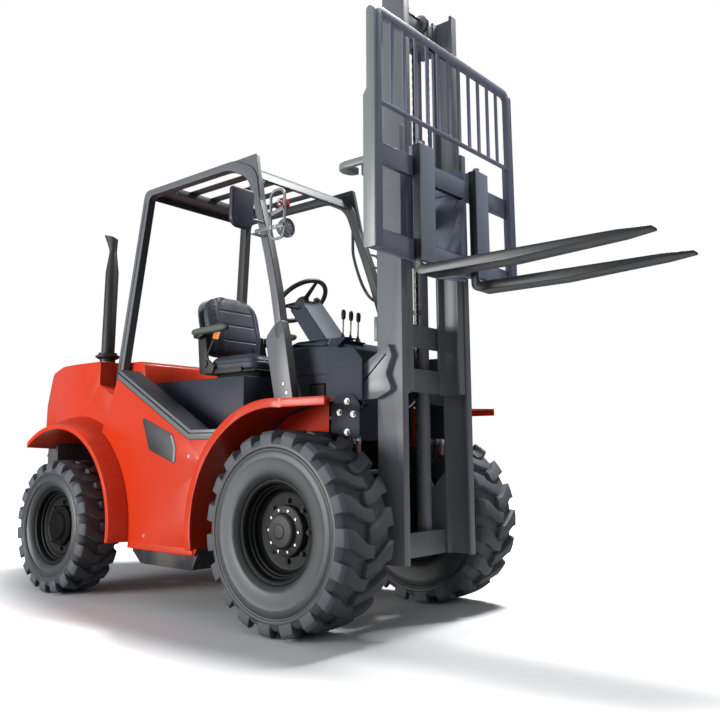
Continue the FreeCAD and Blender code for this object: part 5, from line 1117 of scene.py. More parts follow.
class LampsOperator(bpy.types.Operator):
    """Headlamps and turn signals in their loop brackets, and the mirrors outside the pillars"""
    bl_idname = "forklift.lamps"
    bl_label = "Lamps and mirrors"

    def execute(self, context):
        for side_name, side in SIDES:
            self.bracket(side_name, side)
            self.headlamp(side_name, side)
            self.signal(side_name, side)
            self.mirror(side_name, side)
        for side_name, side in SIDES:
            self.rear_lamp(side_name, side, BODY_OF["rear_lamps"])
        return {"FINISHED"}

    def bracket(self, side_name, side):
        """Two upright flat bars joined in loops, a slanting cross plate and an arm to the pillar."""
        y0, y1 = side * 0.5345, side * 0.5455
        rear, front, foot, top = (FRONT_AXLE - 0.236, FRONT_AXLE - 0.122, 1.905, 2.182)
        outer = filleted([(rear, foot), (front, foot), (front, top), (rear, top)], 0.046, steps=8)
        inner = filleted([(rear + 0.013, foot + 0.013), (front - 0.013, foot + 0.013),
            (front - 0.013, top - 0.013), (rear + 0.013, top - 0.013)], 0.034, steps=8)
        bm = bmesh.new()
        ring_plate(bm, outer, inner, "y", y0, y1)
        meshes = [softened(bm, 0.0015, 2)]
        slant = [(rear + 0.002, 2.034), (front - 0.002, 2.062), (front - 0.002, 2.084),
            (rear + 0.002, 2.056)]
        meshes.append(plate(slant, "y", y0, y1, 0.001))
        meshes.append(brick(at(-0.345, y0, 1.968), (front - 0.001, y1, 1.988), 0.001))
        meshes.append(brick(at(-0.377, y1, 1.967), at(-0.343, side * 0.458, 1.973), 0.001))
        meshes.append(bar(at(-0.17, side * 0.486, 2.112), at(-0.17, side * 0.54, 2.112), 0.006))
        meshes.append(bar(at(-0.186, side * 0.486, 1.978), at(-0.186, side * 0.54, 1.978), 0.007))
        joined("lamp_bracket_" + side_name, meshes, "bracket", BODY_OF["front_lamps"],
            replaces=("front_lamps",))
        bolts("lamp_bolts_" + side_name,
            [at(-0.17, side * 0.5455, 2.112), at(-0.186, side * 0.5455, 1.978),
               at(-0.222, side * 0.5455, 1.978)], (0, side, 0), "steel",
            BODY_OF["front_lamps"], 0.0065, 0.005)

    def headlamp(self, side_name, side):
        """Round shell with a domed glass before its reflector."""
        start = at(-0.222, side * 0.486, 1.978)
        shell = [(0.0, 0.0), (0.014, 0.0), (0.022, 0.004), (0.034, 0.016), (0.045, 0.034),
            (0.048, 0.046), (0.051, 0.048), (0.052, 0.052), (0.052, 0.066), (0.05, 0.07),
            (0.046, 0.07), (0.044, 0.066), (0.04, 0.06), (0.0, 0.04)]
        lens = [(0.0, 0.069), (0.016, 0.0685), (0.032, 0.066), (0.0445, 0.062), (0.0445, 0.059),
            (0.0, 0.063)]
        bowl = [(0.0, 0.03), (0.012, 0.031), (0.026, 0.04), (0.041, 0.0595), (0.039, 0.06),
            (0.024, 0.0425), (0.01, 0.0335), (0.0, 0.0325)]
        for part, look, profile, smooth in (("shell", "lamp_shell", shell, 50.0),
                ("lens", "lens", lens, 60.0), ("reflector", "chrome", bowl, 60.0)):
            new_piece("headlamp_%s_%s" % (part, side_name), spun(profile, start, (1, 0, 0), 40),
                look, BODY_OF["front_lamps"], smooth=smooth)

    def signal(self, side_name, side):
        """Turn signal: a dark base and a domed glass."""
        start = at(-0.236, side * 0.486, 2.112)
        base = [(0.0, 0.0), (0.02, 0.0), (0.024, 0.004), (0.028, 0.022), (0.035, 0.026),
            (0.036, 0.03), (0.036, 0.04), (0.034, 0.042), (0.0, 0.042)]
        dome = [(0.0, 0.04), (0.0345, 0.04), (0.0345, 0.046), (0.032, 0.058), (0.026, 0.068),
            (0.014, 0.0735), (0.0, 0.0745)]
        for part, look, profile, smooth in (("base", "plastic", base, 45.0),
                ("glass", "signal", dome, 60.0)):
            new_piece("signal_%s_%s" % (part, side_name), spun(profile, start, (1, 0, 0), 36),
                look, BODY_OF["front_lamps"], smooth=smooth)

    def mirror(self, side_name, side):
        """Rounded shell with its mirror glass facing the operator, on a short arm."""
        y0, y1 = sorted((side * 0.551, side * 0.705))
        z0, z1 = 1.981, 2.199
        inner, outer = (y1, y0) if side < 0 else (y0, y1)
        outline = filleted([(inner, z0), (outer, z0), (outer, z1), (inner, z1)], 0.016,
            {0: 0.052, 1: 0.052}, steps=7)
        x0 = FRONT_AXLE - 0.38
        shell = plate(outline, "x", x0 + 0.003, FRONT_AXLE - 0.344, 0.01, 4)
        arm = bar(at(-0.37, side * 0.459, 2.05), at(-0.37, side * 0.562, 2.05), 0.008)
        ball = spun([(0.0, 0.0), (0.01, 0.001), (0.016, 0.007), (0.017, 0.014), (0.014, 0.022),
            (0.0, 0.026)], at(-0.37, side * 0.538, 2.05), (0, side, 0), 24)
        joined("mirror_shell_" + side_name, [shell], "mirror", BODY_OF["mirrors"],
            smooth=45.0, replaces=("mirrors",))
        joined("mirror_arm_" + side_name, [arm, ball], "bracket", BODY_OF["mirrors"], smooth=45.0)
        inset = filleted([(inner + side * 0.008, z0 + 0.008), (outer - side * 0.008, z0 + 0.008),
            (outer - side * 0.008, z1 - 0.008), (inner + side * 0.008, z1 - 0.008)],
            0.012, {0: 0.044, 1: 0.044}, steps=7)
        joined("mirror_glass_" + side_name, [plate(inset, "x", x0, x0 + 0.006, 0.001, 1)],
            "mirror_glass", BODY_OF["mirrors"])

    def rear_lamp(self, side_name, side, body):
        """Upright rear lamp: dark base with a red, an amber and a clear field."""
        lo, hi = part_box("rear_lamps")
        y0, y1 = sorted((side * (hi.y - 0.09), side * hi.y))
        back, face = hi.x, lo.x
        joined("rear_lamp_base_" + side_name,
            [brick((back - 0.007, y0, lo.z), (back, y1, hi.z), 0.002)], "plastic", body,
            replaces=("rear_lamps",))
        fields = (("red", "red_lens", 0.004, 0.062), ("amber", "amber", 0.065, 0.104),
            ("clear", "lens", 0.107, 0.146))
        for label, look, bottom, top in fields:
            joined("rear_lamp_%s_%s" % (label, side_name),
                [brick((face, y0 + 0.004, lo.z + bottom), (back - 0.005, y1 - 0.004, lo.z + top),
                    0.004, 3)], look, body)


def superloop(half_a, half_b, power, count):
    """Points round a rounded rectangle whose corners get fuller with the power."""
    loop = []
    for i in range(count):
        turn = 2 * pi * i / count
        c, s = cos(turn), sin(turn)
        loop.append((copysign(abs(c) ** (2 / power), c) * half_a,
            copysign(abs(s) ** (2 / power), s) * half_b))
    return loop


def lofted(rings):
    """Closed mesh through rings of points, its two ends closed by flat caps."""
    bm = bmesh.new()
    rows = [[bm.verts.new(p) for p in ring] for ring in rings]
    for one, two in zip(rows, rows[1:]):
        bridged(bm, one, two)
    bm.faces.new(rows[0])
    bm.faces.new(rows[-1])
    return mesh_of(outward(bm))


def swollen(mesh, cap, pressure=4.0, voxel=0.006):
    """Cushion mesh: remeshed and blown up as cloth by no more than a cap, then smoothed."""
    mesh = applied(mesh, ("REMESH", dict(mode="VOXEL", voxel_size=voxel, use_smooth_shade=True)))
    scene = bpy.context.scene
    holder = bpy.data.objects.new("cushion", mesh)
    scene.collection.objects.link(holder)
    cloth = holder.modifiers.new("Cloth", "CLOTH")
    cloth.settings.quality = 4
    cloth.settings.use_pressure = True
    cloth.settings.uniform_pressure_force = pressure
    cloth.settings.effector_weights.gravity = 0.0
    for step in range(1, 21):
        scene.frame_set(step)
    blown = bpy.data.meshes.new_from_object(
        holder.evaluated_get(bpy.context.evaluated_depsgraph_get()))
    for vert, new in zip(mesh.vertices, blown.vertices):
        move = new.co - vert.co
        if move.length > cap:
            move = move.normalized() * cap
        vert.co += move
    holder.modifiers.clear()
    bpy.data.objects.remove(holder)
    scene.frame_set(1)
    return applied(mesh, ("SMOOTH", dict(factor=0.5, iterations=4)),
        ("SUBSURF", dict(levels=1, render_levels=1)))


def stitched(mesh, seams, depth=0.005, width=0.006):
    """Sinks sewn channels into a cushion; each seam gives a point's distance from its line."""
    normals = [v.normal.copy() for v in mesh.vertices]
    for vert, normal in zip(mesh.vertices, normals):
        near = min(abs(seam(vert.co)) for seam in seams)
        vert.co -= normal * depth * exp(-(near / width) ** 2)


class SeatOperator(bpy.types.Operator):
    """Seat: stitched cushions on a bellows, side plates, armrests and the belt's buckle"""
    bl_idname = "forklift.seat"
    bl_label = "Operator's seat"

    LEAN = radians(12.0)
    BACK_FOOT_X, BACK_FOOT_Z = -1.082, 1.408

    def execute(self, context):
        self.cushion()
        self.backrest()
        self.base()
        return {"FINISHED"}

    def cushion(self):
        """Stitched seat cushion."""
        lo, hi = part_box("seat_cushion")
        mid = (lo + hi) / 2
        half_x, half_y = (hi.x - lo.x) / 2 - 0.008, (hi.y - lo.y) / 2 - 0.008
        rings = []
        for z, inset in ((lo.z + 0.002, 0.016), (lo.z + 0.012, 0.004), (lo.z + 0.04, 0.0),
                (lo.z + 0.066, 0.004), (lo.z + 0.084, 0.02), (lo.z + 0.09, 0.04)):
            ring = []
            for a, b in superloop(half_x - inset, half_y - inset, 5.0, 72):
                # the front edge rolls down and the side bolsters stand up
                rise = 0.0
                if z > lo.z + 0.05:
                    rise = (-0.02 * max(0.0, (a / half_x - 0.62) / 0.38) ** 2
                        + 0.004 * max(0.0, (abs(b) / half_y - 0.5) / 0.5))
                ring.append((mid.x + a, mid.y + b, z + rise))
            rings.append(ring)
        mesh = swollen(lofted(rings), 0.007)
        for vert in mesh.vertices:
            top = max(0.0, (vert.co.z - (lo.z + 0.07)) / 0.025)
            across = abs(vert.co.y - mid.y)
            vert.co.z -= min(1.0, top) * 0.01 * exp(-(across / 0.13) ** 4)
            vert.co.z = min(vert.co.z, hi.z)
        seams = [lambda p: abs(p.y - mid.y) - 0.15 if p.z > lo.z + 0.055 else 1.0,
            lambda p: (p.z - (lo.z + 0.052))]
        for place in (-0.125, 0.0, 0.125):
            seams.append(lambda p, place=place: (p.x - mid.x - place)
                if p.z > lo.z + 0.055 and abs(p.y - mid.y) < 0.15 else 1.0)
        stitched(mesh, seams, 0.004, 0.005)
        piece = new_piece("seat_cushion_cover", mesh, "vinyl", BODY_OF["seat_cushion"],
            smooth=60.0, replaces=("seat_cushion",))

    def back_place(self, along, across, depth):
        """Point of the backrest from its height share, its side place and its depth."""
        z = self.BACK_FOOT_Z + 0.388 * along
        x = self.BACK_FOOT_X - tan(self.LEAN) * (z - self.BACK_FOOT_Z)
        return at(x + depth * cos(self.LEAN), across, z + depth * sin(self.LEAN))

    def back_depth(self, place):
        """How far a place lies before the backrest's middle plane."""
        x = place.x - FRONT_AXLE - self.BACK_FOOT_X
        return (x + tan(self.LEAN) * (place.z - self.BACK_FOOT_Z)) * cos(self.LEAN)

    def half_width(self, along):
        """Half of the backrest's width at a share of its height."""
        wide = 0.196 + 0.034 * sin(min(1.0, along / 0.62) * pi / 2)
        if along > 0.62:
            wide *= max(0.0, 1 - ((along - 0.62) / 0.385) ** 3.0) ** (1 / 2.6)
        return wide

    def backrest(self):
        """Stitched cushion with side bolsters, and the moulded shell behind it."""
        body = BODY_OF["seat_backrest"]
        rings = []
        for k in range(15):
            along = 0.02 + 0.965 * k / 14
            wide = self.half_width(along) - 0.008
            thick = (0.03 + 0.01 * sin(pi * along)) * (1 - 0.45 * along ** 6)
            ring = []
            for a, b in superloop(wide, thick, 3.6, 64):
                bolster = 0.013 * exp(-((abs(a) / max(wide, 0.01) - 0.78) / 0.17) ** 2)
                lumbar = 0.008 * exp(-((along - 0.28) / 0.2) ** 2)
                ring.append(self.back_place(along, a, 0.006 + b + (bolster + lumbar if b > 0 else 0)))
            rings.append(ring)
        mesh = swollen(lofted(rings), 0.006)
        seams = [lambda p: abs(p.y) - 0.14 if self.back_depth(p) > 0.01 else 1.0,
            lambda p: self.back_depth(p) - 0.004]
        for height in (1.505, 1.605, 1.695):
            seams.append(lambda p, height=height: (p.z - height)
                if self.back_depth(p) > 0.01 and abs(p.y) < 0.14 else 1.0)
        stitched(mesh, seams, 0.004, 0.005)
        piece = new_piece("seat_backrest_cover", mesh, "vinyl", body, smooth=60.0,
            replaces=("seat_backrest",))
        # moulded shell behind the cushion
        rings = []
        for k in range(15):
            along = 0.995 * k / 14
            wide = self.half_width(along)
            thick = 0.016 * (1 - 0.5 * along ** 6)
            ring = [self.back_place(along, a, -0.044 + b - 0.008 * (1 - (a / 0.23) ** 2))
                for a, b in superloop(wide, thick, 3.0, 48)]
            rings.append(ring)
        shell = applied(lofted(rings), ("SUBSURF", dict(levels=1, render_levels=1)))
        new_piece("seat_shell", shell, "seat_shell", body, smooth=60.0)

    def base(self):
        """Bellows, pan, side cheeks, adjusting bar and the belt with its buckle."""
        body = BODY_OF["seat_frame"]
        x0, x1 = FRONT_AXLE - 1.08, FRONT_AXLE - 0.668
        # rubber bellows between the cover and the cushion pan
        rings = []
        z0, z1 = low("seat_frame").z + 0.0005, 1.2895
        for k in range(13):
            z = z0 + (z1 - z0) * k / 12
            out = (0.0, 0.007, 0.01, 0.007)[k % 4]
            rings.append([((x0 + x1) / 2 + a, b, z) for a, b in
                superloop((x1 - x0) / 2 - 0.014 + out, 0.19 + out, 6.0, 56)])
        new_piece("seat_bellows", lofted(rings), "bellows", body, smooth=50.0,
            replaces=("seat_frame",))
        meshes = [brick(at(-1.095, -0.236, 1.2805), at(-0.65, 0.236, 1.2915), 0.004, 3)]
        cheek = [(-1.0, 1.284), (-0.985, 1.33), (-1.045, 1.372), (-1.098, 1.56),
            (-1.15, 1.56), (-1.118, 1.284)]
        for side in (-1, 1):
            meshes.append(upright(cheek, side * 0.243, side * 0.255, 0.014))
            meshes.append(bar(at(-1.066, side * 0.236, 1.345), at(-1.066, side * 0.262, 1.345),
                0.024, 28))
            meshes.append(brick(at(-1.045, side * 0.225, 1.2805), at(-0.76, side * 0.243, 1.3105),
                0.003))
        meshes.append(bent([at(-0.7, -0.12, 1.268), at(-0.664, -0.12, 1.268),
            at(-0.664, 0.12, 1.268), at(-0.7, 0.12, 1.268)], 0.006))
        joined("seat_mechanism", meshes, "plastic", body, smooth=40.0)
        for side_name, side in SIDES:
            self.armrest(side_name, side, body)
        strap = upright([(-1.06, 1.38), (-1.04, 1.392), (-0.955, 1.528), (-0.972, 1.54)],
            -0.2625, -0.2595, 0.004, width=0.0008, segments=1)
        joined("seat_belt_strap", [strap], "webbing", body)
        socket = upright([(-0.985, 1.49), (-0.93, 1.478), (-0.905, 1.528), (-0.96, 1.54)],
            -0.28, -0.264, 0.01, width=0.004, segments=3)
        joined("seat_belt_socket", [socket], "buckle", body, smooth=45.0)

    def armrest(self, side_name, side, body):
        """Foam pad that thickens forwards, on its hinge."""
        rings = []
        for k in range(19):
            share = k / 18
            x = FRONT_AXLE - 1.16 + 0.33 * share
            swell = max(0.0, 1 - abs(2 * share - 1) ** 5) ** 0.45
            half_y, half_z = 0.008 + 0.02 * swell, 0.006 + (0.014 + 0.004 * share) * swell
            rings.append([(x, side * 0.287 + a, 1.548 - 0.01 * (1 - share) + b)
                for a, b in superloop(half_y, half_z, 3.0, 28)])
        pad = applied(lofted(rings), ("SUBSURF", dict(levels=1, render_levels=1)))
        piece = new_piece("armrest_" + side_name, pad, "armrest", body, smooth=60.0)
        post = upright([(-1.135, 1.5), (-1.085, 1.5), (-1.0, 1.53), (-1.13, 1.536)],
            side * 0.257, side * 0.3, 0.01, width=0.003)
        pin = bar(at(-1.112, side * 0.25, 1.52), at(-1.112, side * 0.307, 1.52), 0.017, 24)
        joined("armrest_hinge_" + side_name, [post, pin], "plastic", body, smooth=45.0)


class SteeringOperator(bpy.types.Operator):
    """Steering wheel with three spokes, its column, and the switches on the instrument pod"""
    bl_idname = "forklift.steering"
    bl_label = "Steering wheel and dash"

    TILT = radians(40.0)

    def execute(self, context):
        axis = Vector((-sin(self.TILT), 0.0, cos(self.TILT)))
        centre = middle("steering_wheel")
        tube_r, ring_r = 0.0138, 0.161
        ring = [(ring_r + tube_r * cos(2 * pi * i / 16),
            tube_r * sin(2 * pi * i / 16)) for i in range(16)]
        rim = spun(ring, centre, axis, 96, closed=True)
        hub = spun([(0.0, -0.02), (0.03, -0.02), (0.04, -0.01), (0.046, 0.004), (0.042, 0.012),
            (0.03, 0.016), (0.0, 0.018)], centre - axis * 0.012, axis, 48)
        meshes = [rim, hub]
        ahead = Vector((cos(self.TILT), 0.0, sin(self.TILT)))
        for turn in (90, 210, 330):
            turn = radians(turn)
            way = ahead * sin(turn) + Vector((0, 1, 0)) * cos(turn)
            side = axis.cross(way)
            rings = []
            for share in (0.0, 0.3, 0.65, 1.0):
                at_r = 0.034 + (ring_r - 0.034) * share
                rise = -0.012 + 0.01 * share
                wide, thick = 0.019 - 0.008 * share, 0.0055
                rings.append([centre + way * at_r + axis * (rise + b) + side * a
                    for a, b in superloop(wide, thick, 3.0, 20)])
            meshes.append(lofted(rings))
        joined("steering_wheel_rim", meshes, "grip", BODY_OF["steering_wheel"], smooth=50.0,
            replaces=("steering_wheel",))
        knob = centre + axis * 0.012 + Vector((0, 1, 0)) * ring_r * 0.985
        joined("steering_knob", [spun([(0.0, 0.0), (0.01, 0.0), (0.011, 0.006), (0.019, 0.012),
            (0.022, 0.022), (0.02, 0.032), (0.012, 0.04), (0.0, 0.042)], knob, axis, 28)],
            "plastic", BODY_OF["steering_wheel"], smooth=60.0)
        body = BODY_OF["steering_column"]
        foot, head = at(-0.202, 0, 1.336), centre - axis * 0.036
        length = (head - foot).length
        profile = [(0.0, 0.0), (0.03, 0.0), (0.03, length * 0.45)]
        for k in range(6):
            base = length * (0.45 + 0.05 * k)
            profile += [(0.0295, base), (0.026, base + length * 0.025)]
        profile += [(0.03, length * 0.76), (0.03, length * 0.93), (0.022, length), (0.0, length)]
        joined("steering_column_boot", [spun(profile, foot, head - foot, 36)], "plastic", body,
            smooth=40.0, replaces=("steering_column",))
        stalks = []
        root = foot + (head - foot) * 0.86
        for side in (-1, 1):
            tip = root + Vector((-0.01, side * 0.13, 0.012))
            stalks.append(bar(root + Vector((0, side * 0.02, 0)), tip, 0.0045, 12))
            stalks.append(spun([(0.0, 0.0), (0.007, 0.002), (0.009, 0.014), (0.008, 0.034),
                (0.0, 0.038)], tip - Vector((0, side * 0.004, 0)), (0, side, 0), 16))
        joined("column_stalks", stalks, "plastic", body, smooth=50.0)
        self.dash()
        self.levers()
        return {"FINISHED"}

    def pod_place(self, along, across, lift):
        """Place on the pod's rear face, which runs up and back, and how far it stands proud."""
        low_edge, top_edge = at(-0.38, 0, 1.457), at(-0.5, 0, 1.637)
        run = (top_edge - low_edge).normalized()
        return low_edge + run * along + Vector((0, across, 0)) + Vector((-run.z, 0, run.x)) * lift

    def pod_panel(self, name, along, across, lift, look, soft=0.002):
        """Plate with rounded corners on the pod's rear face."""
        corners = [(across[0], along[0]), (across[1], along[0]), (across[1], along[1]),
            (across[0], along[1])]
        bm = bmesh.new()
        prism(bm, filleted(corners, 0.006), "z", -0.004, lift)
        for vert in bm.verts:
            vert.co = self.pod_place(vert.co.y, vert.co.x, vert.co.z)
        joined(name, [softened(bm, soft, 2)], look, BODY_OF["cowl"])

    def dash(self):
        """Rounded dash with the painted shade of a panel gap and of a recess, the pod's screen and its
        switches.
        """
        body = BODY_OF["cowl"]
        rounded("cowl", "dash", width=0.006, angle=22.0, segments=3)
        self.pod_panel("instrument_frame", (0.07, 0.185), (-0.08, 0.08), 0.004, "plastic")
        self.pod_panel("instrument_screen", (0.078, 0.177), (-0.072, 0.072), 0.0055,
            "screen", 0.001)
        for k in range(4):
            y = -0.066 + 0.036 * k
            self.pod_panel("rocker_switch_%d" % (k + 1), (0.018, 0.052), (y, y + 0.024), 0.007,
                "plastic", 0.003)
        foot = self.pod_place(0.034, 0.08, 0.0)
        key = spun([(0.0, -0.003), (0.013, -0.003), (0.013, 0.004), (0.01, 0.007), (0.0, 0.007)],
            foot, self.pod_place(0.034, 0.08, 1.0) - foot, 24)
        joined("start_key", [key], "steel", body, smooth=40.0)
        # painted shade: thin near-black plates stand for the gap between the dash's upper and lower
        # panels, and for the recess below it
        gap = [(-0.235, 1.2075), (0.01, 1.2075), (0.01, 1.2125), (-0.235, 1.2125)]
        recess = [(-0.095, 1.066), (0.004, 1.066), (0.004, 1.158), (-0.095, 1.158)]
        for side_name, side in SIDES:
            meshes = [upright(outline, side * 0.3687, side * 0.3712, radius, width=0.0002, segments=1)
                for outline, radius in ((gap, 0.0), (recess, 0.01))]
            joined("dash_gaps_" + side_name, meshes, "shadow", body)

    def levers(self):
        """Three hydraulic levers that stand in bellows boots."""
        lo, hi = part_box("control_levers")
        body = BODY_OF["control_levers"]
        x = (lo.x + hi.x) / 2
        boots, sticks, grips = [], [], []
        for k in range(3):
            y = hi.y - 0.02 - (hi.y - lo.y - 0.04) * k / 2
            profile = [(0.0, 0.0), (0.02, 0.0), (0.02, 0.003)]
            for fold in range(4):
                z = 0.004 + 0.008 * fold
                profile += [(0.018 - 0.003 * fold, z), (0.0145 - 0.003 * fold, z + 0.004)]
            profile += [(0.006, 0.037), (0.0, 0.037)]
            start = Vector((x, y, lo.z - 0.001))
            boots.append(spun(profile, start, (0, 0, 1), 28))
            tip = Vector((x + 0.004, y, hi.z - 0.052))
            sticks.append(bar(start + Vector((0, 0, 0.03)), tip + Vector((0, 0, 0.01)), 0.0045, 14))
            grips.append(spun([(0.0, 0.0), (0.008, 0.0), (0.011, 0.006), (0.0125, 0.022),
                (0.0125, 0.036), (0.01, 0.048), (0.005, 0.0525), (0.0, 0.053)],
                tip, (0.03, 0, 1), 24))
        joined("lever_boots", boots, "bellows", body, smooth=50.0, replaces=("control_levers",))
        joined("lever_sticks", sticks, "steel", body, smooth=50.0)
        joined("lever_grips", grips, "grip", body, smooth=60.0)
        foot = brick((x - 0.03, lo.y - 0.01, lo.z - 0.004),
            (x + 0.03, hi.y + 0.01, lo.z + 0.0015), 0.0015)
        joined("lever_plate", [foot], "plastic", body)


class BodyOperator(bpy.types.Operator):
    """Hood, side panels and fenders with badge, grille, latch, cap and step tread"""
    bl_idname = "forklift.body"
    bl_label = "Body"

    # forward of the front axle, out from the middle, and up from the floor
    TAPER_FROM = -1.86
    FLANK = 0.6
    PANEL_EDGE, RAISED_EDGE = 0.848, 0.886

    def execute(self, context):
        self.hood()
        self.hood_details()
        self.exhaust()
        for side_name, side in SIDES:
            self.panel(side_name, side)
            self.fender(side_name, side)
            self.badge(side_name, side)
            self.step_tread(side_name, side)
        return {"FINISHED"}

    def hood(self):
        """The hood's flanks draw in towards its rear corners, and the flares run out into them."""
        tail, flare_end = low("rear_body").x - FRONT_AXLE, -2.19
        weight_top = high("counterweight").z + 0.13
        weight_side = high("counterweight").y - 0.16
        bm = merged("rear_body")
        stations = [self.TAPER_FROM - 0.08 * k for k in range(4)]
        stations += [flare_end, flare_end - 0.02, flare_end - 0.07, flare_end - 0.13, flare_end - 0.18]
        sliced(bm, "x", [FRONT_AXLE + x for x in stations])
        for vert in bm.verts:
            x, y = vert.co.x - FRONT_AXLE, abs(vert.co.y)
            share = min(1.0, max(0.0, (self.TAPER_FROM - x) / (self.TAPER_FROM - tail)))
            drawn_in = 0.1 * share ** 1.6
            if y > self.FLANK + 0.004 and x < flare_end:
                past = min(1.0, (flare_end - x) / 0.02)
                # behind the flare's end its sheet lies against the flank, and lower down it
                # is hidden in the counterweight
                flank = self.FLANK - drawn_in + 0.003
                y += past * ((flank if vert.co.z > weight_top else min(flank, weight_side)) - y)
            elif self.FLANK - 0.04 < y <= self.FLANK + 0.004:
                y -= drawn_in
            vert.co.y = copysign(y, vert.co.y)
        mesh = eased_steel(mesh_of(bm), 0.004)
        new_piece("rear_body_shell", mesh, "body", BODY_OF["rear_body"], replaces=("rear_body",))

    def hood_details(self):
        """Grille and latch on the hood's rear, and the fuel cap on its top."""
        body = BODY_OF["rear_body"]
        lo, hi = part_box("rear_body")
        x, y0, z0, z1 = lo.x, 0.33, 0.975, 1.105
        # painted shade: a near-black plate behind the slats stands for the grille's dark opening
        joined("hood_grille_field", [plate(filleted([(-y0, z0), (y0, z0), (y0, z1), (-y0, z1)], 0.015),
            "x", x - 0.0015, x + 0.002, 0.0005, 1)], "shadow", body)
        slats = []
        for k in range(7):
            z = z0 + 0.011 + 0.018 * k
            slats.append(brick((x - 0.008, -y0 + 0.01, z - 0.003), (x, y0 - 0.01, z + 0.003), 0.0015))
        for y in (-y0 + 0.006, -y0 / 3, y0 / 3, y0 - 0.006):
            slats.append(brick((x - 0.006, y - 0.006, z0 + 0.004), (x, y + 0.006, z1 - 0.004), 0.0015))
        joined("hood_grille_slats", slats, "plastic", body)
        handle = [bent([(x, -0.045, 1.16), (x - 0.01, -0.045, 1.16), (x - 0.012, -0.03, 1.16),
            (x - 0.012, 0.03, 1.16), (x - 0.01, 0.045, 1.16), (x, 0.045, 1.16)], 0.005)]
        joined("hood_latch", handle, "grip", body, smooth=50.0)
        cap = spun([(0.0, -0.004), (0.048, -0.004), (0.048, 0.004), (0.044, 0.008), (0.042, 0.024),
            (0.036, 0.028), (0.0, 0.028)], Vector((lo.x + 0.46, 0.34, hi.z)), (0, 0, 1), 40)
        joined("fuel_cap", [cap], "plastic", body, smooth=40.0)
        grips = [brick((lo.x + 0.455, 0.3, hi.z + 0.026), (lo.x + 0.465, 0.38, hi.z + 0.034), 0.003)]
        joined("fuel_cap_grip", grips, "plastic", body)

    def panel(self, side_name, side):
        """Side panel whose top edge meets the guard's bar, with a flange that turns inwards."""
        name = "side_panel_" + side_name
        body = BODY_OF[name]
        bm = merged(name)
        for vert in bm.verts:
            if abs(vert.co.z - self.PANEL_EDGE) < 0.003:
                vert.co.z = self.RAISED_EDGE
                vert.co.x = FRONT_AXLE + (-0.71 if vert.co.x < FRONT_AXLE - 0.6 else -0.44)
        flange = upright([(-1.383, 1.243), (-0.712, 0.885), (-0.442, 0.885), (-0.448, 0.877),
            (-0.714, 0.877), (-1.386, 1.234)], side * 0.565, side * 0.645, width=0.001, segments=1)
        joined(name + "_sheet", [eased_steel(mesh_of(bm)), flange], "body", body, replaces=(name,))
        # the lower edge is turned out a little
        hem = upright([(-1.118, 0.302), (-1.122, 0.34), (-0.64, 0.34), (-0.636, 0.302)],
            side * 0.648, side * 0.656, 0.01, width=0.003, segments=3)
        joined(name + "_hem", [hem], "body", body)
        places = [at(x, side * 0.6502, z) for x, z in
            ((-1.06, 0.375), (-0.68, 0.375), (-0.66, 0.62), (-0.7, 0.8))]
        bolts(name + "_screws", places, (0, side, 0), "steel", body, 0.006, 0.003)

    def fender(self, side_name, side):
        """The fender's front end runs back to its inner edge on a slant."""
        name = "front_fender_" + side_name
        outline = [(FRONT_AXLE + x, side * y) for x, y in ((0.345, 0.7), (0.345, 0.355),
            (0.02, 0.355))]
        wedge = bmesh.new()
        prism(wedge, outline, "z", 0.76, high(name).z + 0.02)
        mesh = eased_steel(carved(mesh_of(merged(name)), wedge))
        new_piece(name + "_sheet", mesh, "body", BODY_OF[name], replaces=(name,))

    def exhaust(self):
        """Stack with a clamp flange, a drawn-in neck and a mouth cut on a slant."""
        lo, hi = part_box("exhaust")
        body = BODY_OF["exhaust"]
        x, y, top = (lo.x + hi.x) / 2, (lo.y + hi.y) / 2, hi.z
        pipe = spun([(0.0, 0.0), (0.05, 0.0), (0.05, 0.05), (0.062, 0.054), (0.079, 0.066),
            (0.079, 0.074), (0.06, 0.084), (0.06, 0.094), (0.043, 0.098), (0.043, 0.64),
            (0.03, 0.74), (0.025, 0.78), (0.0, 0.78)], (x, y, lo.z), (0, 0, 1), 48)
        rings = []
        # height below the tip, reach to the rear and right, width to the front
        for down, reach, width, slant in ((0.13, 0.025, 0.025, 0.0), (0.105, 0.027, 0.025, 0.0),
                (0.06, 0.045, 0.027, 0.006), (0.018, 0.066, 0.029, 0.016),
                (0.02, 0.061, 0.024, 0.016), (0.06, 0.038, 0.02, 0.006)):
            ring = []
            for k in range(28):
                turn = 2 * pi * k / 28
                away = cos(turn)
                far = reach if away > 0 else width
                along, across = far * away, width * sin(turn)
                ring.append(Vector((x - along * 0.8 + across * 0.6, y - along * 0.6 - across * 0.8,
                    top - down + slant * away)))
            rings.append(ring)
        joined("exhaust_stack", [pipe, lofted(rings)], "exhaust", body, smooth=40.0,
            replaces=("exhaust",))
        clamp = [spun([(0.049, 0.0), (0.053, 0.0), (0.053, 0.016), (0.049, 0.016)],
            (x, y, lo.z + 0.018), (0, 0, 1), 40, closed=True),
            bar((x - 0.02, y - 0.056, lo.z + 0.026), (x + 0.03, y - 0.056, lo.z + 0.026), 0.005)]
        joined("exhaust_clamp", clamp, "steel", body, smooth=40.0)

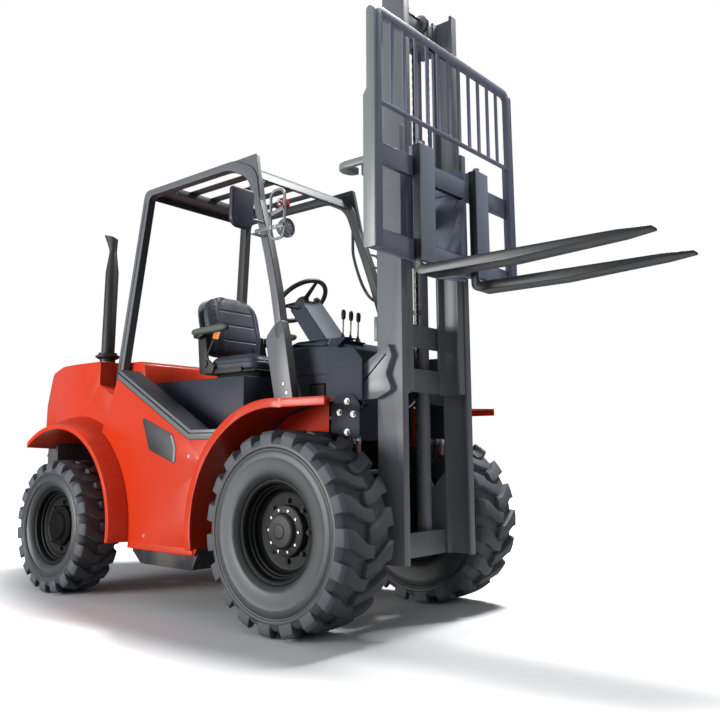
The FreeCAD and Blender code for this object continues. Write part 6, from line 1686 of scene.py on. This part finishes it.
    def badge(self, side_name, side):
        """Blank badge plate with a bright front edge."""
        body = BODY_OF["side_panel_" + side_name]
        blank = upright([(-1.123, 1.016), (-0.845, 0.918), (-0.806, 0.85), (-0.81, 0.76),
            (-1.044, 0.833)], side * 0.6495, side * 0.6525, 0.012, {2: 0.05}, width=0.001)
        joined("badge_" + side_name, [blank], "badge", body)
        rim = upright([(-0.858, 0.9155), (-0.845, 0.911), (-0.813, 0.85), (-0.816, 0.769),
            (-0.83, 0.772), (-0.826, 0.846), (-0.856, 0.902)], side * 0.652,
            side * 0.6535, 0.004, {2: 0.05, 5: 0.05}, width=0.0004, segments=1)
        joined("badge_edge_" + side_name, [rim], "badge_rim", body)

    def step_tread(self, side_name, side):
        """Raised bars on the step over the side tank."""
        body = BODY_OF["side_tanks"]
        lo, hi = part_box("side_tanks")
        bars = []
        for k in range(9):
            x = lo.x + 0.1 + k * (hi.x - lo.x - 0.2) / 8
            y0, y1 = sorted((side * (hi.y - 0.09), side * (hi.y - 0.012)))
            bars.append(brick((x - 0.012, y0, hi.z - 0.001), (x + 0.012, y1, hi.z + 0.003), 0.001))
        joined("step_tread_" + side_name, bars, "steel", body)


class MastOperator(bpy.types.Operator):
    """What the mast carries: leaf chains, sheaves, glands, hoses, bolts and the ears' pins"""
    bl_idname = "forklift.mast"
    bl_label = "Mast details"

    def execute(self, context):
        self.chains()
        self.sheaves()
        self.fittings()
        self.ears()
        self.carriage()
        return {"FINISHED"}

    def chains(self):
        """The rear runs lie in two layers that slide past each other, one on each mast."""
        layer = 0.0054
        rear_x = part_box("chains_upper")[0].x + layer / 2
        for name in ("chains_upper", "chains_lower"):
            lo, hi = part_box(name)
            meshes = []
            for side in (-1, 1):
                y = side * 0.095
                if name == "chains_upper":
                    sheave = at(0.3, y, 3.209)
                    r = sheave.x - rear_x
                    front_x = sheave.x + r - 0.003
                    line = [Vector((front_x, y, 2.2)), Vector((front_x, y, sheave.z))]
                    line += [sheave + Vector((r * cos(pi * k / 12), 0,
                        r * sin(pi * k / 12))) for k in range(1, 12)]
                    line += [Vector((rear_x, y, sheave.z)), Vector((rear_x, y, lo.z + 0.01))]
                else:
                    x = rear_x - layer - 0.0008
                    line = [Vector((x, y, lo.z + 0.03)), Vector((x, y, hi.z - 0.004))]
                    meshes.append(brick((lo.x, y - 0.014, lo.z), (hi.x, y + 0.014, lo.z + 0.044), 0.002))
                mesh = bpy.data.meshes.new("line")
                edges = [(i, i + 1) for i in range(len(line) - 1)]
                mesh.from_pydata([tuple(p) for p in line], edges, [])
                meshes.append(grown(mesh, "leaf chain", chain_tree, Pitch=0.0254, Width=0.021,
                    Height=layer, Material=painted("chain")))
            joined(name + "_links", meshes, "chain", BODY_OF[name], smooth=20.0, replaces=(name,))

    def sheaves(self):
        """Grooved wheels that the upper chains run over, on their pins."""
        rims = []
        for side in (-1, 1):
            rims.append(spun([(0.01, -0.014), (0.052, -0.014), (0.055, -0.011), (0.047, -0.009),
                (0.047, 0.009), (0.055, 0.011), (0.052, 0.014), (0.01, 0.014)],
                at(0.3, side * 0.095, 3.209), (0, 1, 0), 40, closed=True))
            rims.append(bar(at(0.3, side * 0.076, 3.209), at(0.3, side * 0.114, 3.209), 0.012, 20))
        joined("mast_sheaves", rims, "steel", BODY_OF["inner_ties"], smooth=40.0)

    def fittings(self):
        """Cylinder glands and pipes, the crown's shelves and its bright bolts."""
        body = BODY_OF["lift_barrels"]
        glands, pipes = [], []
        for side in (-1, 1):
            x, y = FRONT_AXLE + 0.232, side * 0.16
            glands.append(spun([(0.0245, 0.0), (0.0455, 0.0), (0.0455, 0.02), (0.042, 0.024),
                (0.042, 0.034), (0.036, 0.04), (0.0245, 0.04)],
                (x, y, high("lift_barrels").z - 0.041), (0, 0, 1), 36, closed=True))
            line = [(x - 0.004, side * 0.108, z) for z in (0.42, 0.6, 1.2, 1.78, 1.86)]
            pipes.append(bent(line + [(x, side * 0.126, 1.9)], 0.007))
            for z in (0.7, 1.1, 1.55):
                pipes.append(brick((x - 0.014, side * 0.094, z), (x + 0.006, side * 0.126, z + 0.022)))
        joined("cylinder_glands", glands, "steel", body, smooth=40.0)
        joined("cylinder_pipes", pipes, "chassis", body, smooth=45.0)
        body = BODY_OF["outer_ties"]
        lo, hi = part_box("outer_ties")
        for side_name, side in SIDES:
            shelf = [(0.3, 0.343), (0.3, 0.368), (0.13, 0.372), (0.078, 0.352), (0.062, 0.3),
                (0.08, 0.25), (0.128, 0.236), (0.128, 0.343)]
            outline = filleted([(FRONT_AXLE + x, side * y) for x, y in shelf], 0.01,
                {2: 0.05, 3: 0.03, 4: 0.04, 5: 0.03}, steps=6)
            mesh = plate(outline, "z", hi.z - 0.05, hi.z - 0.014, 0.003)
            joined("crown_shelf_" + side_name, [mesh], "bracket", body)
        places = [Vector((lo.x + 0.03, side * y, hi.z)) for side in (-1, 1) for y in (0.235, 0.285)]
        bolts("crown_bolts", places, (0, 0, 1), "steel", body, 0.013, 0.01)

    def ears(self):
        """Rib on each ear, painted near black as a line of painted shade, and the bright head of its
        pin.
        """
        body = BODY_OF["outer_rail_right"]
        for side_name, side in SIDES:
            rib_y, pin_y = side * 0.339, side * 0.341
            rib = bar(at(0.24, rib_y, 1.168), at(0.372, rib_y, 1.286), 0.0055, 10)
            # painted shade: the rib's bar is near black so that it reads as a dark line
            joined("ear_rib_" + side_name, [rib], "shadow", body, smooth=50.0)
            pin = spun([(0.0, 0.0), (0.021, 0.0), (0.021, 0.004), (0.018, 0.007), (0.008, 0.007),
                (0.006, 0.0045), (0.0, 0.0045)], at(0.154, pin_y, 1.145), (0, side, 0), 28)
            joined("ear_pin_" + side_name, [pin], "chrome", body, smooth=40.0)

    def carriage(self):
        """Load backrest's bolts and flat uprights, and the latch on each fork's hook."""
        places = [at(0.5275, side * 0.624, z) for side in (-1, 1) for z in (1.755, 1.795, 2.18, 2.22)]
        bolts("backrest_bolts", places, (1, 0, 0), "steel", BODY_OF["carriage"], 0.01, 0.008)
        lo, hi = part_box("load_backrest")
        x0, x1 = hi.x - 0.07, hi.x
        outline = filleted([(x0, lo.z), (x1, lo.z), (x1, hi.z - 0.03), (x1 - 0.03, hi.z - 0.006),
            (x0 + 0.02, hi.z - 0.02), (x0 + 0.02, hi.z - 0.42), (x0, hi.z - 0.45)], 0.012)
        for side_name, side in SIDES:
            side_plate = plate(outline, "y", *sorted((side * 0.6405, side * 0.6525)))
            piece = joined("backrest_side_" + side_name, [side_plate], "carriage",
                BODY_OF["load_backrest"])
            # painted highlight: the plate's outer face gets the lighter bracket grey for the light it
            # catches
            two_tone(piece, "bracket", lambda face: face.normal.y * side > 0.97)
        for side_name in ("right", "left"):
            fork = "fork_" + side_name
            foot = Vector((high(fork).x - 1.105, middle(fork).y, high(fork).z - 0.002))
            latch = spun([(0.0, 0.0), (0.012, 0.0), (0.012, 0.016), (0.017, 0.018), (0.019, 0.024),
                (0.017, 0.031), (0.0, 0.034)], foot, (0, 0, 1), 24)
            joined(fork + "_latch", [latch], "steel", BODY_OF[fork], smooth=45.0)


class FrameOperator(bpy.types.Operator):
    """Frame plates behind the front fenders with their bolts, hose fittings and hoses"""
    bl_idname = "forklift.frame"
    bl_label = "Frame plates and hoses"

    def execute(self, context):
        body = BODY_OF["cowl"]
        for side_name, side in SIDES:
            inside, outside = side * 0.3709, side * 0.3769
            sheet = upright([(0.055, 0.89), (0.236, 0.89), (0.236, 1.052), (0.195, 1.1),
                (0.09, 1.1), (0.055, 1.05)], inside, outside, 0.012, width=0.0015)
            joined("frame_plate_" + side_name, [sheet], "cover", body)
            places = [at(x, outside, z) for x, z in
                ((0.159, 1.066), (0.11, 1.014), (0.198, 1.004), (0.159, 0.918))]
            bolts("frame_bolts_" + side_name, places, (0, side, 0), "steel", body, 0.011, 0.009)
            self.hose_fittings(side_name, side, body)
        return {"FINISHED"}

    def hose_fittings(self, side_name, side, body):
        """Couplings under the plate with two short hoses that run back into the frame."""
        meshes, hoses = [], []
        for k, x in enumerate((0.15, 0.182, 0.214)):
            foot = at(x, side * 0.352, 0.862)
            meshes.append(spun([(0.0, 0.0), (0.01, 0.0), (0.01, 0.012), (0.013, 0.012), (0.013, 0.022),
                (0.009, 0.024), (0.009, 0.034), (0.0, 0.034)], foot, (0, 0, 1), 6))
            if k < 2:
                hoses.append(bent([foot + Vector((0, 0, 0.004)), foot + Vector((0, 0, -0.05)),
                    foot + Vector((-0.03, -side * 0.02, -0.11)),
                    foot + Vector((-0.1, -side * 0.07, -0.13))], 0.0085))
        joined("hose_couplings_" + side_name, meshes, "steel", body, smooth=30.0)
        joined("frame_hoses_" + side_name, hoses, "bellows", body, smooth=50.0)
        cap = spun([(0.0, 0.0), (0.01, 0.0), (0.011, 0.004), (0.011, 0.052), (0.008, 0.058),
            (0.0, 0.058)], at(0.214, side * 0.356, 0.806), (0, 0, 1), 16)
        joined("hose_sleeve_" + side_name, [cap], "sleeve", body, smooth=45.0)


OPERATORS = (StageOperator, SteelOperator, BodyOperator, TyresOperator, RimsOperator,
    GuardOperator, LampsOperator, SeatOperator, SteeringOperator, MastOperator, FrameOperator)


class ForkliftPanel(bpy.types.Panel):
    """The forklift's looks, listed piece by piece"""
    bl_idname = "VIEW3D_PT_forklift"
    bl_label = "Forklift"
    bl_space_type = "VIEW_3D"
    bl_region_type = "UI"
    bl_category = "Forklift"

    def draw(self, context):
        for settings in (context.scene.forklift_paint, context.scene.forklift_tyres,
                context.scene.forklift_stage):
            for name in settings.__annotations__:
                self.layout.prop(settings, name)
        for operator in OPERATORS:
            self.layout.operator(operator.bl_idname)


CLASSES = (ForkliftPaint, ForkliftTyres, ForkliftStage) + OPERATORS + (ForkliftPanel,)


def register():
    for cls in CLASSES:
        bpy.utils.register_class(cls)
    bpy.types.Scene.forklift_paint = PointerProperty(type=ForkliftPaint)
    bpy.types.Scene.forklift_tyres = PointerProperty(type=ForkliftTyres)
    bpy.types.Scene.forklift_stage = PointerProperty(type=ForkliftStage)


def unregister():
    del bpy.types.Scene.forklift_stage
    del bpy.types.Scene.forklift_tyres
    del bpy.types.Scene.forklift_paint
    for cls in reversed(CLASSES):
        bpy.utils.unregister_class(cls)


def main():
    register()
    for operator in OPERATORS:
        group, name = operator.bl_idname.split(".")
        getattr(getattr(bpy.ops, group), name)()


if __name__ == "__main__":
    main()
